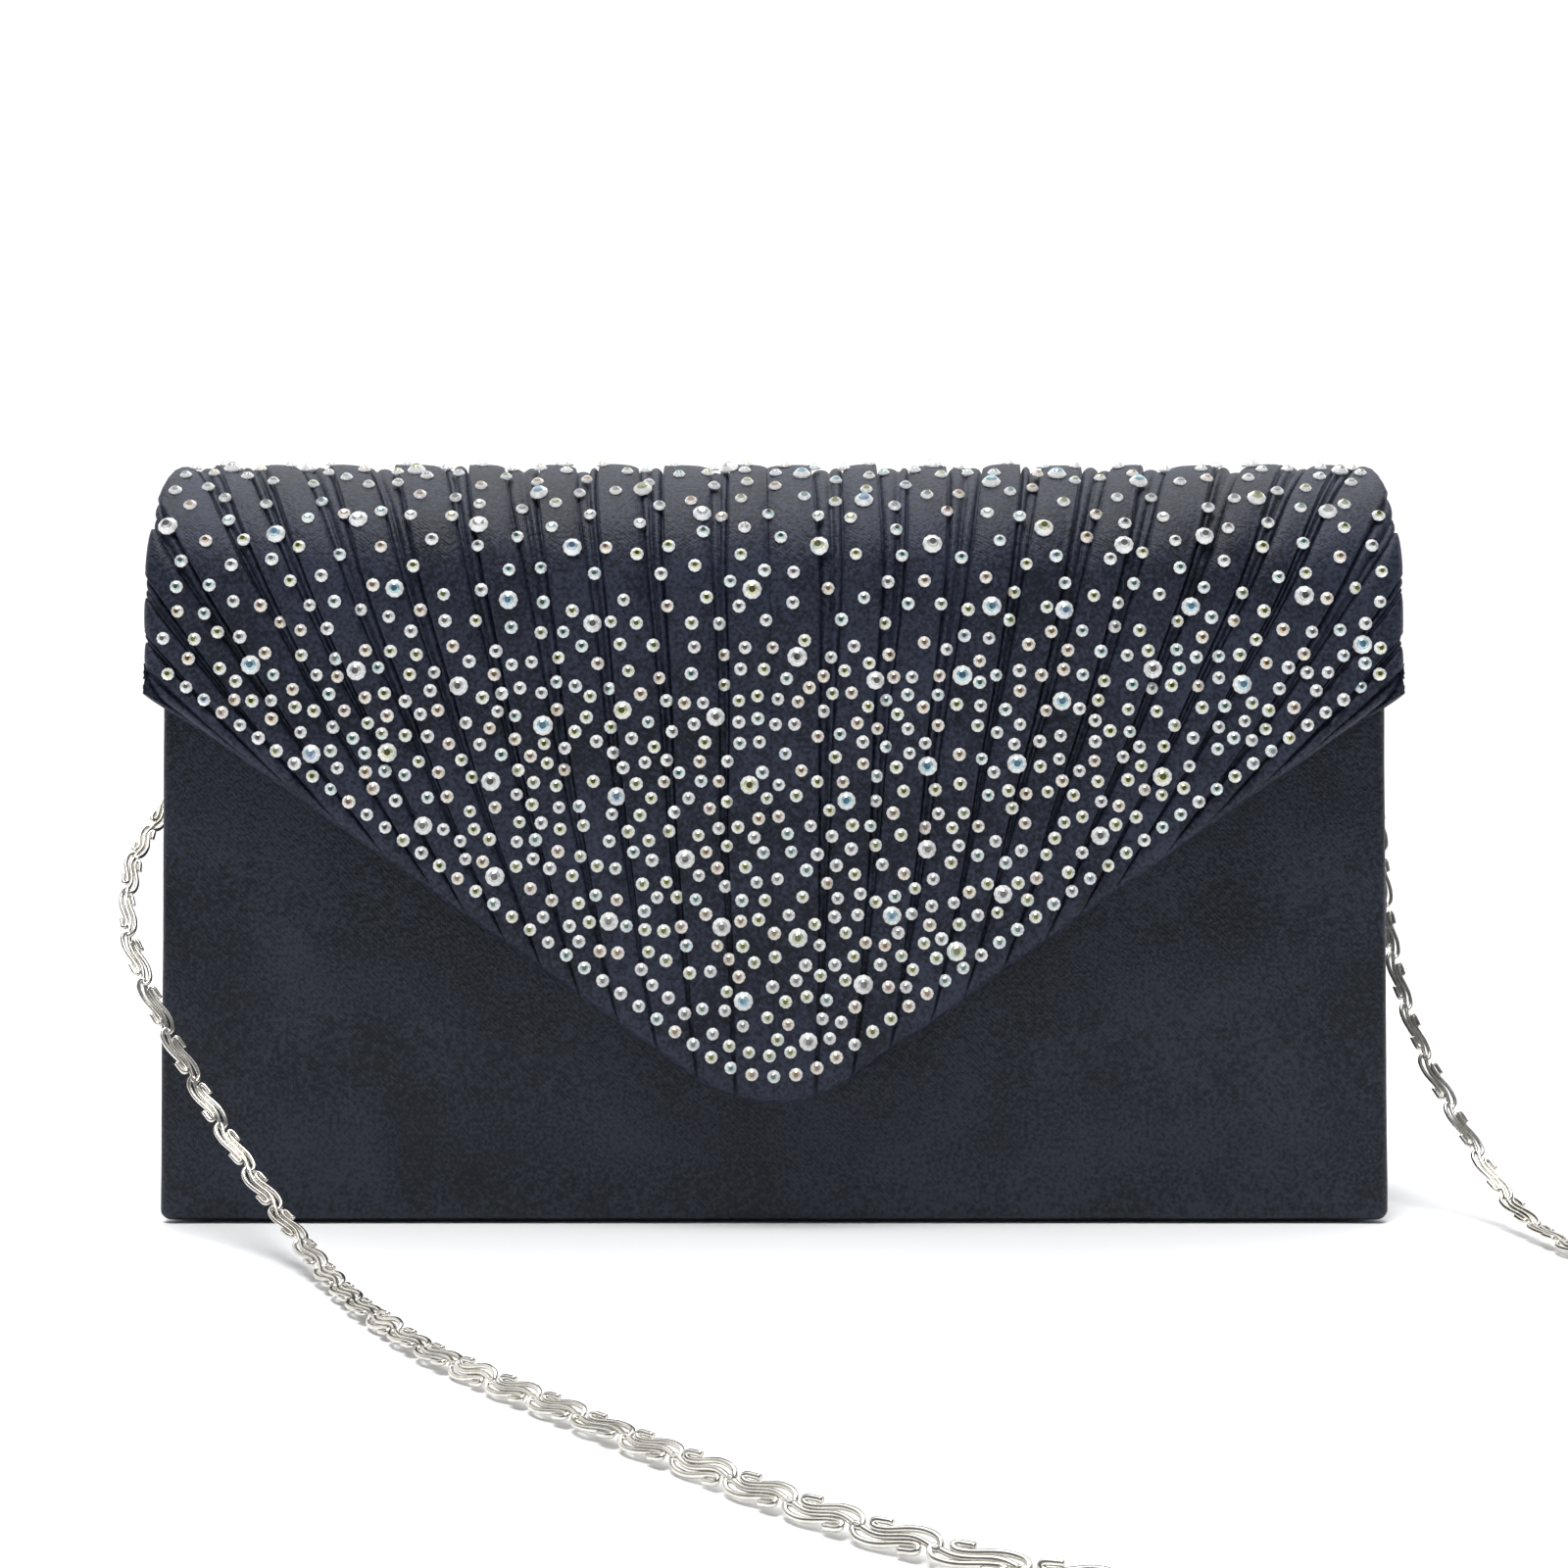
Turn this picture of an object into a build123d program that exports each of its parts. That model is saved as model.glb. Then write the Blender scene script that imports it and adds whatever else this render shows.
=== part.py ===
"""Evening bag: a stiff satin box with a pleated, crystal-set V flap and a chain strap.

Millimetres. X runs to the right as the flap is faced, the front is towards -Y and +Z is up.
The origin is the centre of the face that the bag stands on.
"""

from build123d import *
import math
import os
import random

os.makedirs("parts", exist_ok=True)

# Body
BAG_WIDTH = 210.0
BAG_DEPTH = 50.0
PANEL_HEIGHT = 106.0
FRONT_FOOT = 0.5
FRONT_LEAN = 2.5
BACK_LEAN = 3.0
PANEL_CORNER = 2.0
PANEL_EDGE = 1.6
COVER = 0.8
BOARD = 2.0
LINING = 0.6
LINING_MARGIN = 2.0
CLEARANCE = 0.35
BACK_LINING_TRIM = 6.0
BACK_LINING_RAISE = 1.0
BASE_SIDE_GAP = 0.2
BASE_BOARD_CORNER = 0.7
BASE_CORNER = 1.5
BASE_EDGE = 0.6
BASE_LINING_TRIM = (2.0, 1.0)

# Inside pocket
POCKET_WIDTH = 124.0
POCKET_HEIGHT = 60.0
POCKET_FOOT = 24.0
POCKET_DEPTH = 1.6
POCKET_WALL = 0.5
POCKET_SEAM = 1.5

# Gussets
GUSSET_X = 104.5
GUSSET_FOOT = 3.6
GUSSET_TOP = 104.0
CREASE_FOOT = 2.0
CREASE_TOP = 16.0
GUSSET_CLOTH = 0.9
GUSSET_LINING = 0.6
GUSSET_FRONT_GAP = 0.1
GUSSET_BACK_GAP = 0.2
GUSSET_LAYER_GAP = 0.1

# Flap
FLAP_HALF = 105.8
FLAP_FRONT = -32.0
FLAP_BACK = 22.0
FLAP_RADIUS = 25.0
FLAP_BEND = 107.0
FLAP_COVER = 1.2
FLAP_PADDING = 2.0
FLAP_BOARD = 1.5
FLAP_LINING = 0.8
V_APEX = 16.5
V_SLOPE = 0.705
V_TIP_RADIUS = 22.8
V_CORNER_RADIUS = 9.5

# Hinge strip
HINGE_TRIM = 10.0
HINGE_HEIGHT = 9.0
HINGE_BELOW_TOP = 4.9
HINGE_CLOTH = 0.6
HINGE_GAP = 0.05

# Magnetic snap
SNAP_HEIGHT = 38.0
SNAP_CUP_DEPTH = 2.2
SNAP_CUP_FLOOR = 0.3
SNAP_RIM = 1.0
SNAP_HOLE_GAP = 0.2
WASHER_GAP = 0.3
WASHER_POCKET = 0.6
WASHER_OFFSET = 0.05
SOCKET_WASHER_THICK = 0.45
STUD_WASHER_THICK = 0.5
STUD_WASHER_BORE_GAP = 0.2
STUD_HOLE_GAP = 0.3
STUD_DISC_THICK = 0.8
STUD_POST_LONG = 3.5
STUD_SHANK_PAST_LINING = 0.5
SNAP_BORE = 4.6
SNAP_CUP = 6.2
SNAP_DISC = 9.0
SNAP_WASHER = 8.0
STUD_DISC = 7.0
STUD_POST = 2.5
STUD_SHANK = 1.5

# Strap hardware, right-hand side
BAR_X = 98.5
BAR_Z = 97.0
RING_HALF = 5.2
RING_DROP = 9.0
RING_WIRE = 0.75
RING_CORNER = 4.0
TAB_HALF = 3.4
TAB_BORE = 0.95
TAB_LOOP = 1.9
TAB_INNER_X = 90.3
TAB_THICK = 1.4
CLASP_TILT = 35.0
CLASP_HALF_THICK = 0.9
GATE_HALF_THICK = 0.45
GATE_SLOT_HALF = 0.6
GATE_OUTLINE = [(2.8, -2.3), (4.2, -2.3), (4.2, -6.0), (3.9, -7.3), (2.1, -7.3), (2.8, -6.0)]
GATE_BOSS = 1.1
GATE_BORE_GAP = 0.06
PIN_BORE_GAP = 0.02
HOOK_SIZE = (8.8, 13.0)
HOOK_CORNER = 4.2
HOOK_Y = -3.1
HOOK_OPENING_SIZE = (5.6, 8.4)
HOOK_OPENING_CORNER = 2.7
HOOK_OPENING_Y = -2.4
HOOK_MOUTH_SIZE = (3.2, 4.8)
HOOK_MOUTH_AT = (3.8, -4.2)
CLASP_NECK_SIZE = (2.4, 3.0)
CLASP_NECK_Y = -10.6
CLASP_EYE_OUTER = 2.6
CLASP_EYE_BORE = 1.4
GATE_SLOT_SIZE = (3.8, 2.8)
GATE_SLOT_AT = (3.6, -7.6)
GATE_PIVOT = (3.0, -7.3)
PIN_RADIUS = 0.45
EYE_DROP = 14.0
JUMP_RING_DROP = 17.0
JUMP_RING_RADIUS = 2.4
JUMP_RING_WIRE = 0.5

# Chain strap
CHAIN_WIDTH = 3.5
CHAIN_LEFT = [
    (-109.34, 0, 72.5),
    (-111.6, -9.0, 66.5),
    (-111.4, -20.0, 60.5),
    (-109.4, -29.5, 51.5),
    (-104.6, -35.0, 42.0),
    (-96.0, -39.0, 28.0),
    (-84.7, -47.0, 14.0),
    (-74.4, -58.0, 5.5),
    (-66.0, -72.0, 1.75),
    (-55.5, -94.5, 1.75),
    (-41.0, -119.0, 1.75),
    (-23.5, -140.0, 1.75),
    (-6.5, -161.5, 1.75),
    (11.5, -182.0, 1.75),
    (34.0, -197.0, 1.75),
    (58.5, -204.5, 1.75),
    (83.0, -204.5, 1.75),
    (105.0, -195.0, 1.75),
    (122.5, -181.5, 1.75),
    (137.0, -167.0, 1.75),
]
CHAIN_RIGHT = [
    (146.0, -152.0, 5.25),
    (146.8, -136.0, 4.4),
    (145.0, -119.0, 1.75),
    (140.0, -100.0, 1.75),
    (133.5, -81.0, 1.75),
    (128.0, -62.0, 1.75),
    (125.5, -45.0, 1.75),
    (124.0, -31.0, 3.5),
    (120.8, -22.5, 11.5),
    (116.6, -16.5, 21.0),
    (112.9, -10.5, 31.5),
    (110.8, -5.5, 44.0),
    (110.0, -1.8, 58.0),
    (109.34, 0, 72.5),
]
CHAIN_BEND = 0.45
COIL_CENTRE = (125.0, -150.0)
COIL_TURN_RADIUS = 19.25
COIL_TURNS_BESIDE = 2
COIL_LAYERS = 2

# Crystals
STONE_SEED = 11
SMALL_RADIUS = 1.1
SMALL_HEIGHT = 0.85
LARGE_RADIUS = 1.6
LARGE_HEIGHT = 1.2
STONE_TABLE = 0.6
STONE_GLUE = 0.15
BORDER_INSET = 4.5
BORDER_PITCH = 3.7
FIELD_INSET = 7.2
LARGE_SPACING = 12.0
SPACING_LOW = 2.95
SPACING_HIGH = 4.8
THIN_START = 92.0
THIN_END = 112.0
STONE_LAST = 141.0
LARGE_TRIES = 900
SMALL_TRIES = 24000


def save(part, label):
    """Name a finished piece and write it."""
    part.label = label
    export_step(part, f"parts/{label}.step")


# ---------------------------------------------------------------- stiff panels

front_tilt = math.atan2(FRONT_LEAN, PANEL_HEIGHT)
back_tilt = math.atan2(BACK_LEAN, PANEL_HEIGHT)
front_plane = Plane(
    origin=(0, -BAG_DEPTH / 2, FRONT_FOOT),
    x_dir=(1, 0, 0),
    z_dir=(0, -math.cos(front_tilt), math.sin(front_tilt)),
)
back_plane = Plane(
    origin=(0, BAG_DEPTH / 2, 0),
    x_dir=(-1, 0, 0),
    z_dir=(0, math.cos(back_tilt), math.sin(back_tilt)),
)


def panel_slab(plane, depth, thickness, margin):
    """A rounded plate whose outer face lies at a depth below the panel's outer face."""
    with BuildPart() as slab:
        with BuildSketch(plane.offset(-depth)):
            with Locations((0, PANEL_HEIGHT / 2)):
                RectangleRounded(
                    BAG_WIDTH - 2 * margin,
                    PANEL_HEIGHT - 2 * margin,
                    max(PANEL_CORNER - margin, 0.5),
                )
        extrude(amount=-thickness)
    return slab.part


def panel_cover(plane, board):
    """The cloth: a tray that wraps the board's outer face and edges."""
    with BuildPart() as cover:
        add(panel_slab(plane, 0, COVER + BOARD, 0))
        outer_face = cover.faces().sort_by(Axis((0, 0, 0), plane.z_dir))[-1]
        fillet(outer_face.edges(), radius=PANEL_EDGE)
        add(board, mode=Mode.SUBTRACT)
    return cover.part


with BuildPart() as front_board:
    add(panel_slab(front_plane, COVER, BOARD, COVER))
    with BuildSketch(front_plane):
        with Locations((0, SNAP_HEIGHT)):
            Circle(SNAP_CUP + SNAP_HOLE_GAP)
    extrude(amount=-(COVER + BOARD), mode=Mode.SUBTRACT)
    with BuildSketch(front_plane.offset(-(COVER + BOARD))):
        with Locations((0, SNAP_HEIGHT)):
            Circle(SNAP_WASHER + WASHER_GAP)
    extrude(amount=WASHER_POCKET, mode=Mode.SUBTRACT)
save(front_board.part, "front_board")

with BuildPart() as front_cover:
    add(panel_cover(front_plane, panel_slab(front_plane, COVER, BOARD, COVER)))
    with BuildSketch(front_plane):
        with Locations((0, SNAP_HEIGHT)):
            Circle(SNAP_CUP + SNAP_HOLE_GAP)
    extrude(amount=-(COVER + BOARD), mode=Mode.SUBTRACT)
save(front_cover.part, "front_cover")

with BuildPart() as front_lining:
    add(panel_slab(front_plane, COVER + BOARD, LINING, LINING_MARGIN))
save(front_lining.part, "front_lining")

with BuildPart() as back_board:
    add(panel_slab(back_plane, COVER, BOARD, COVER))
save(back_board.part, "back_board")

with BuildPart() as back_cover:
    add(panel_cover(back_plane, back_board.part))
save(back_cover.part, "back_cover")

with BuildPart() as back_lining:
    with BuildSketch(back_plane.offset(-(COVER + BOARD))):
        with Locations((0, PANEL_HEIGHT / 2 + BACK_LINING_RAISE)):
            Rectangle(BAG_WIDTH - 2 * LINING_MARGIN, PANEL_HEIGHT - BACK_LINING_TRIM)
    extrude(amount=-LINING)
save(back_lining.part, "back_lining")

# ---------------------------------------------------------------- base

BASE_FRONT = -BAG_DEPTH / 2 + COVER + BOARD + LINING + CLEARANCE
BASE_BACK = BAG_DEPTH / 2 - COVER - BOARD - CLEARANCE
BASE_MIDDLE = (BASE_FRONT + BASE_BACK) / 2
BASE_DEPTH = BASE_BACK - BASE_FRONT
BASE_WIDTH = BAG_WIDTH - 2 * BASE_SIDE_GAP

with BuildPart() as base_board:
    with BuildSketch(Plane.XY.offset(COVER)):
        with Locations((0, BASE_MIDDLE)):
            RectangleRounded(BASE_WIDTH - 2 * COVER, BASE_DEPTH - 2 * COVER, BASE_BOARD_CORNER)
    extrude(amount=BOARD)
save(base_board.part, "base_board")

with BuildPart() as base_cover:
    with BuildSketch(Plane.XY):
        with Locations((0, BASE_MIDDLE)):
            RectangleRounded(BASE_WIDTH, BASE_DEPTH, BASE_CORNER)
    extrude(amount=COVER + BOARD)
    fillet(base_cover.faces().sort_by(Axis.Z)[0].edges(), radius=BASE_EDGE)
    add(base_board.part, mode=Mode.SUBTRACT)
save(base_cover.part, "base_cover")

with BuildPart() as base_lining:
    with BuildSketch(Plane.XY.offset(COVER + BOARD)):
        with Locations((0, BASE_MIDDLE)):
            Rectangle(BASE_WIDTH - BASE_LINING_TRIM[0], BASE_DEPTH - BASE_LINING_TRIM[1])
    extrude(amount=LINING)
save(base_lining.part, "base_lining")

# ---------------------------------------------------------------- inside pocket

with BuildPart() as inner_pocket:
    pocket_back = COVER + BOARD + LINING
    with BuildSketch(back_plane.offset(-pocket_back)):
        with Locations((0, POCKET_FOOT + POCKET_HEIGHT / 2)):
            Rectangle(POCKET_WIDTH, POCKET_HEIGHT)
    extrude(amount=-POCKET_DEPTH)
    with BuildSketch(back_plane.offset(-pocket_back)):
        with Locations((0, POCKET_FOOT + POCKET_HEIGHT / 2 + POCKET_SEAM)):
            Rectangle(POCKET_WIDTH - 2 * POCKET_SEAM, POCKET_HEIGHT)
    extrude(amount=-(POCKET_DEPTH - POCKET_WALL), mode=Mode.SUBTRACT)
save(inner_pocket.part, "inner_pocket")

# ---------------------------------------------------------------- folded gussets


def crease_depth(height):
    """How far the fold lies inside the bag's side at a height."""
    share = (height - GUSSET_FOOT) / (GUSSET_TOP - GUSSET_FOOT)
    return CREASE_FOOT + share * (CREASE_TOP - CREASE_FOOT)


def gusset_front(height):
    """The gusset's front edge, just behind the front panel's lining."""
    rise = FRONT_LEAN * height / PANEL_HEIGHT
    return -BAG_DEPTH / 2 + COVER + BOARD + LINING + CLEARANCE + GUSSET_FRONT_GAP + rise


def gusset_back(height):
    """The gusset's back edge, just ahead of the back panel's lining."""
    rise = BACK_LEAN * height / PANEL_HEIGHT
    return BAG_DEPTH / 2 - COVER - BOARD - LINING - GUSSET_BACK_GAP - rise


def gusset(depth, thickness):
    """One V-folded wall of the right-hand side, at a depth below its outer face."""
    with BuildPart() as wall:
        for height in (GUSSET_FOOT, GUSSET_TOP):
            outer = GUSSET_X - depth
            inner = outer - thickness
            fold = crease_depth(height)
            front = gusset_front(height)
            back = gusset_back(height)
            with BuildSketch(Plane.XY.offset(height)):
                with BuildLine():
                    Polyline(
                        (outer, front),
                        (outer - fold, 0),
                        (outer, back),
                        (inner, back),
                        (inner - fold, 0),
                        (inner, front),
                        close=True,
                    )
                make_face()
        loft(ruled=True)
    return wall.part


def mirrored(part):
    """The same piece on the other side of the bag."""
    with BuildPart() as twin:
        mirror(part, about=Plane.YZ)
    return twin.part


gusset_right = gusset(0, GUSSET_CLOTH)
gusset_lining_right = gusset(GUSSET_CLOTH + GUSSET_LAYER_GAP, GUSSET_LINING)
save(gusset_right, "gusset_right")
save(gusset_lining_right, "gusset_lining_right")
save(mirrored(gusset_right), "gusset_left")
save(mirrored(gusset_lining_right), "gusset_lining_left")

# ---------------------------------------------------------------- flap


def flap_layer(outer, inner, inset):
    """One layer of the flap between two depths, with its outline pulled in by an inset."""
    with BuildPart() as layer:
        with BuildSketch(Plane.YZ):
            with BuildLine():
                Line((FLAP_FRONT + outer, 0), (FLAP_FRONT + outer, FLAP_BEND))
                rise = JernArc((FLAP_FRONT + outer, FLAP_BEND), (0, 1), FLAP_RADIUS - outer, -90)
                top_back = (FLAP_BACK - FLAP_RADIUS, FLAP_BEND + FLAP_RADIUS - outer)
                Line(rise @ 1, top_back)
                fall = JernArc(top_back, (1, 0), FLAP_RADIUS - outer, -90)
                Line(fall @ 1, (FLAP_BACK - inner, FLAP_BEND))
                climb = JernArc((FLAP_BACK - inner, FLAP_BEND), (0, 1), FLAP_RADIUS - inner, 90)
                top_front = (FLAP_FRONT + FLAP_RADIUS, FLAP_BEND + FLAP_RADIUS - inner)
                Line(climb @ 1, top_front)
                drop = JernArc(top_front, (-1, 0), FLAP_RADIUS - inner, 90)
                Line(drop @ 1, (FLAP_FRONT + inner, 0))
                Line((FLAP_FRONT + inner, 0), (FLAP_FRONT + outer, 0))
            make_face()
        extrude(amount=FLAP_HALF, both=True)
        half = FLAP_HALF - inset
        apex = V_APEX + inset * math.hypot(1, V_SLOPE)
        side = apex + V_SLOPE * half
        top = FLAP_BEND + FLAP_RADIUS + 1
        with BuildSketch(Plane.XZ) as outline:
            with BuildLine():
                Polyline((0, apex), (half, side), (half, top), (-half, top), (-half, side), close=True)
            make_face()
            fillet(outline.vertices().group_by(Axis.Y)[0], radius=V_TIP_RADIUS - inset)
            corners = [v for v in outline.vertices() if abs(v.X) > half - 1 and v.Y < top - 1]
            fillet(corners, radius=V_CORNER_RADIUS - inset)
        extrude(amount=BAG_DEPTH, both=True, mode=Mode.INTERSECT)
    return layer.part


PADDING_AT = FLAP_COVER
BOARD_AT = PADDING_AT + FLAP_PADDING
LINING_AT = BOARD_AT + FLAP_BOARD
FLAP_THICKNESS = LINING_AT + FLAP_LINING
flap_inside = FLAP_FRONT + FLAP_THICKNESS
flap_board_inside = FLAP_FRONT + LINING_AT

save(flap_layer(PADDING_AT, BOARD_AT, FLAP_COVER), "flap_padding")

with BuildPart() as flap_board:
    add(flap_layer(BOARD_AT, LINING_AT, FLAP_COVER))
    with BuildSketch(Plane.XZ.offset(-flap_board_inside)):
        with Locations((0, SNAP_HEIGHT)):
            Circle(SNAP_WASHER + WASHER_GAP)
    extrude(amount=WASHER_POCKET, mode=Mode.SUBTRACT)
save(flap_board.part, "flap_board")

with BuildPart() as flap_cover:
    add(flap_layer(0, LINING_AT, 0))
    add(flap_layer(FLAP_COVER, LINING_AT, FLAP_COVER), mode=Mode.SUBTRACT)
save(flap_cover.part, "flap_cover")

with BuildPart() as flap_lining:
    add(flap_layer(LINING_AT, FLAP_THICKNESS, LINING_MARGIN))
    with BuildSketch(Plane.XZ.offset(-flap_inside)):
        with Locations((0, SNAP_HEIGHT)):
            Circle(STUD_SHANK + STUD_HOLE_GAP)
    extrude(amount=FLAP_LINING, mode=Mode.SUBTRACT)
save(flap_lining.part, "flap_lining")

with BuildPart() as hinge_strip:
    with BuildSketch(back_plane.offset(HINGE_GAP)):
        with Locations((0, PANEL_HEIGHT - HINGE_BELOW_TOP)):
            Rectangle(BAG_WIDTH - HINGE_TRIM, HINGE_HEIGHT)
    extrude(amount=HINGE_CLOTH)
save(hinge_strip.part, "hinge_strip")

# ---------------------------------------------------------------- magnetic snap

with BuildPart() as snap_stud:
    with BuildSketch(Plane.XZ.offset(-flap_inside)):
        with Locations((0, SNAP_HEIGHT)):
            Circle(STUD_DISC)
    extrude(amount=-STUD_DISC_THICK)
    with BuildSketch(Plane.XZ.offset(-flap_inside)):
        with Locations((0, SNAP_HEIGHT)):
            Circle(STUD_POST)
    extrude(amount=-STUD_POST_LONG)
    with BuildSketch(Plane.XZ.offset(-flap_inside)):
        with Locations((0, SNAP_HEIGHT)):
            Circle(STUD_SHANK)
    extrude(amount=FLAP_LINING + STUD_SHANK_PAST_LINING)
save(snap_stud.part, "snap_stud")

with BuildPart() as snap_stud_washer:
    with BuildSketch(Plane.XZ.offset(-(flap_board_inside - WASHER_OFFSET))):
        with Locations((0, SNAP_HEIGHT)):
            Circle(SNAP_WASHER)
            Circle(STUD_SHANK + STUD_WASHER_BORE_GAP, mode=Mode.SUBTRACT)
    extrude(amount=STUD_WASHER_THICK)
save(snap_stud_washer.part, "snap_stud_washer")

with BuildPart() as snap_socket:
    with BuildSketch(front_plane):
        with Locations((0, SNAP_HEIGHT)):
            Circle(SNAP_DISC)
    extrude(amount=SNAP_RIM)
    with BuildSketch(front_plane):
        with Locations((0, SNAP_HEIGHT)):
            Circle(SNAP_CUP)
    extrude(amount=-SNAP_CUP_DEPTH)
    with BuildSketch(front_plane.offset(SNAP_RIM)):
        with Locations((0, SNAP_HEIGHT)):
            Circle(SNAP_BORE)
    extrude(amount=-(SNAP_RIM + SNAP_CUP_DEPTH - SNAP_CUP_FLOOR), mode=Mode.SUBTRACT)
save(snap_socket.part, "snap_socket")

with BuildPart() as snap_socket_washer:
    with BuildSketch(front_plane.offset(-(COVER + BOARD - WASHER_OFFSET))):
        with Locations((0, SNAP_HEIGHT)):
            Circle(SNAP_WASHER)
    extrude(amount=SOCKET_WASHER_THICK)
save(snap_socket_washer.part, "snap_socket_washer")

# ---------------------------------------------------------------- strap rings and tabs

bar_plane = Plane(origin=(BAR_X, 0, BAR_Z), x_dir=(1, 0, 0), z_dir=(0, -1, 0))

with BuildPart() as ring_tab_right:
    with BuildSketch(bar_plane):
        Circle(TAB_LOOP)
        with Locations(((TAB_INNER_X - BAR_X) / 2, 0)):
            Rectangle(BAR_X - TAB_INNER_X, TAB_THICK)
        Circle(TAB_BORE, mode=Mode.SUBTRACT)
    extrude(amount=TAB_HALF, both=True)
save(ring_tab_right.part, "ring_tab_right")
save(mirrored(ring_tab_right.part), "ring_tab_left")

with BuildPart() as d_ring_right:
    with BuildLine() as bow:
        FilletPolyline(
            (BAR_X, -RING_HALF, BAR_Z),
            (BAR_X, -RING_HALF, BAR_Z - RING_DROP),
            (BAR_X, RING_HALF, BAR_Z - RING_DROP),
            (BAR_X, RING_HALF, BAR_Z),
            radius=RING_CORNER,
        )
    with BuildSketch(Plane(origin=(BAR_X, -RING_HALF, BAR_Z), z_dir=(0, 0, -1))):
        Circle(RING_WIRE)
    sweep(path=bow.line)
    with BuildSketch(bar_plane):
        Circle(RING_WIRE)
    extrude(amount=RING_HALF + RING_WIRE, both=True)
save(d_ring_right.part, "d_ring_right")
save(mirrored(d_ring_right.part), "d_ring_left")

# ---------------------------------------------------------------- lobster clasps

tilt = math.radians(CLASP_TILT)
clasp_plane = Plane(
    origin=(BAR_X, 0, BAR_Z - RING_DROP),
    x_dir=(math.cos(tilt), 0, math.sin(tilt)),
    z_dir=(0, -1, 0),
)

with BuildPart() as clasp_body_right:
    with BuildSketch(clasp_plane):
        with Locations((0, HOOK_Y)):
            RectangleRounded(*HOOK_SIZE, HOOK_CORNER)
        with Locations((0, HOOK_OPENING_Y)):
            RectangleRounded(*HOOK_OPENING_SIZE, HOOK_OPENING_CORNER, mode=Mode.SUBTRACT)
        with Locations(HOOK_MOUTH_AT):
            Rectangle(*HOOK_MOUTH_SIZE, mode=Mode.SUBTRACT)
        with Locations((0, CLASP_NECK_Y)):
            Rectangle(*CLASP_NECK_SIZE)
        with Locations((0, -EYE_DROP)):
            Circle(CLASP_EYE_OUTER)
            Circle(CLASP_EYE_BORE, mode=Mode.SUBTRACT)
    extrude(amount=CLASP_HALF_THICK, both=True)
    with BuildSketch(clasp_plane):
        with Locations(GATE_SLOT_AT):
            Rectangle(*GATE_SLOT_SIZE)
    extrude(amount=GATE_SLOT_HALF, both=True, mode=Mode.SUBTRACT)
    with BuildSketch(clasp_plane):
        with Locations(GATE_PIVOT):
            Circle(PIN_RADIUS + PIN_BORE_GAP)
    extrude(amount=CLASP_HALF_THICK, both=True, mode=Mode.SUBTRACT)
save(clasp_body_right.part, "clasp_body_right")
save(mirrored(clasp_body_right.part), "clasp_body_left")

with BuildPart() as clasp_pin_right:
    with BuildSketch(clasp_plane):
        with Locations(GATE_PIVOT):
            Circle(PIN_RADIUS)
    extrude(amount=CLASP_HALF_THICK, both=True)
save(clasp_pin_right.part, "clasp_pin_right")
save(mirrored(clasp_pin_right.part), "clasp_pin_left")

with BuildPart() as clasp_gate_right:
    with BuildSketch(clasp_plane):
        with BuildLine():
            Polyline(*GATE_OUTLINE, close=True)
        make_face()
        with Locations(GATE_PIVOT):
            Circle(GATE_BOSS)
            Circle(PIN_RADIUS + GATE_BORE_GAP, mode=Mode.SUBTRACT)
    extrude(amount=GATE_HALF_THICK, both=True)
save(clasp_gate_right.part, "clasp_gate_right")
save(mirrored(clasp_gate_right.part), "clasp_gate_left")

jump_ring_plane = Plane(
    origin=clasp_plane.from_local_coords((0, -JUMP_RING_DROP, 0)),
    z_dir=clasp_plane.x_dir,
)
with BuildPart(jump_ring_plane) as jump_ring_right:
    Torus(JUMP_RING_RADIUS, JUMP_RING_WIRE)
save(jump_ring_right.part, "jump_ring_right")
save(mirrored(jump_ring_right.part), "jump_ring_left")

# ---------------------------------------------------------------- chain strap


def corner_radii(points):
    """The largest tangent arc that the two runs at each corner leave room for."""
    radii = []
    for before, here, after in zip(points, points[1:], points[2:]):
        turn = math.radians((here - before).get_angle(after - here))
        shorter = min((here - before).length, (after - here).length)
        radii.append(CHAIN_BEND * shorter / math.tan(turn / 2))
    return radii


def chain_run(route, label):
    """A round tube along one uncoiled stretch of the chain."""
    points = [Vector(*point) for point in route]
    radii = corner_radii(points)
    with BuildPart() as tube:
        with BuildLine() as path:
            FilletPolyline(*points, radius=radii)
        with BuildSketch(Plane(origin=path.line @ 0, z_dir=path.line % 0)):
            Circle(CHAIN_WIDTH / 2)
        sweep(path=path.line)
    length = path.wire().length
    expected = math.pi * CHAIN_WIDTH**2 / 4 * length
    print(label, "length", round(length, 1), "radii", [round(radius, 1) for radius in radii])
    print(label, "volume / section x length", round(tube.part.volume / expected, 4))
    save(tube.part, label)
    return length


left_length = chain_run(CHAIN_LEFT, "chain_left_run")
right_length = chain_run(CHAIN_RIGHT, "chain_right_run")

coil_width = COIL_TURNS_BESIDE * CHAIN_WIDTH
with BuildPart() as chain_coil:
    with BuildSketch(Plane.XY):
        with Locations(COIL_CENTRE):
            Circle(COIL_TURN_RADIUS + coil_width / 2)
            Circle(COIL_TURN_RADIUS - coil_width / 2, mode=Mode.SUBTRACT)
    extrude(amount=COIL_LAYERS * CHAIN_WIDTH)
save(chain_coil.part, "chain_coil")
coil_length = 2 * math.pi * COIL_TURN_RADIUS * COIL_TURNS_BESIDE * COIL_LAYERS
print("chain length", round(left_length + coil_length + right_length, 1))

# ---------------------------------------------------------------- crystals


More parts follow.
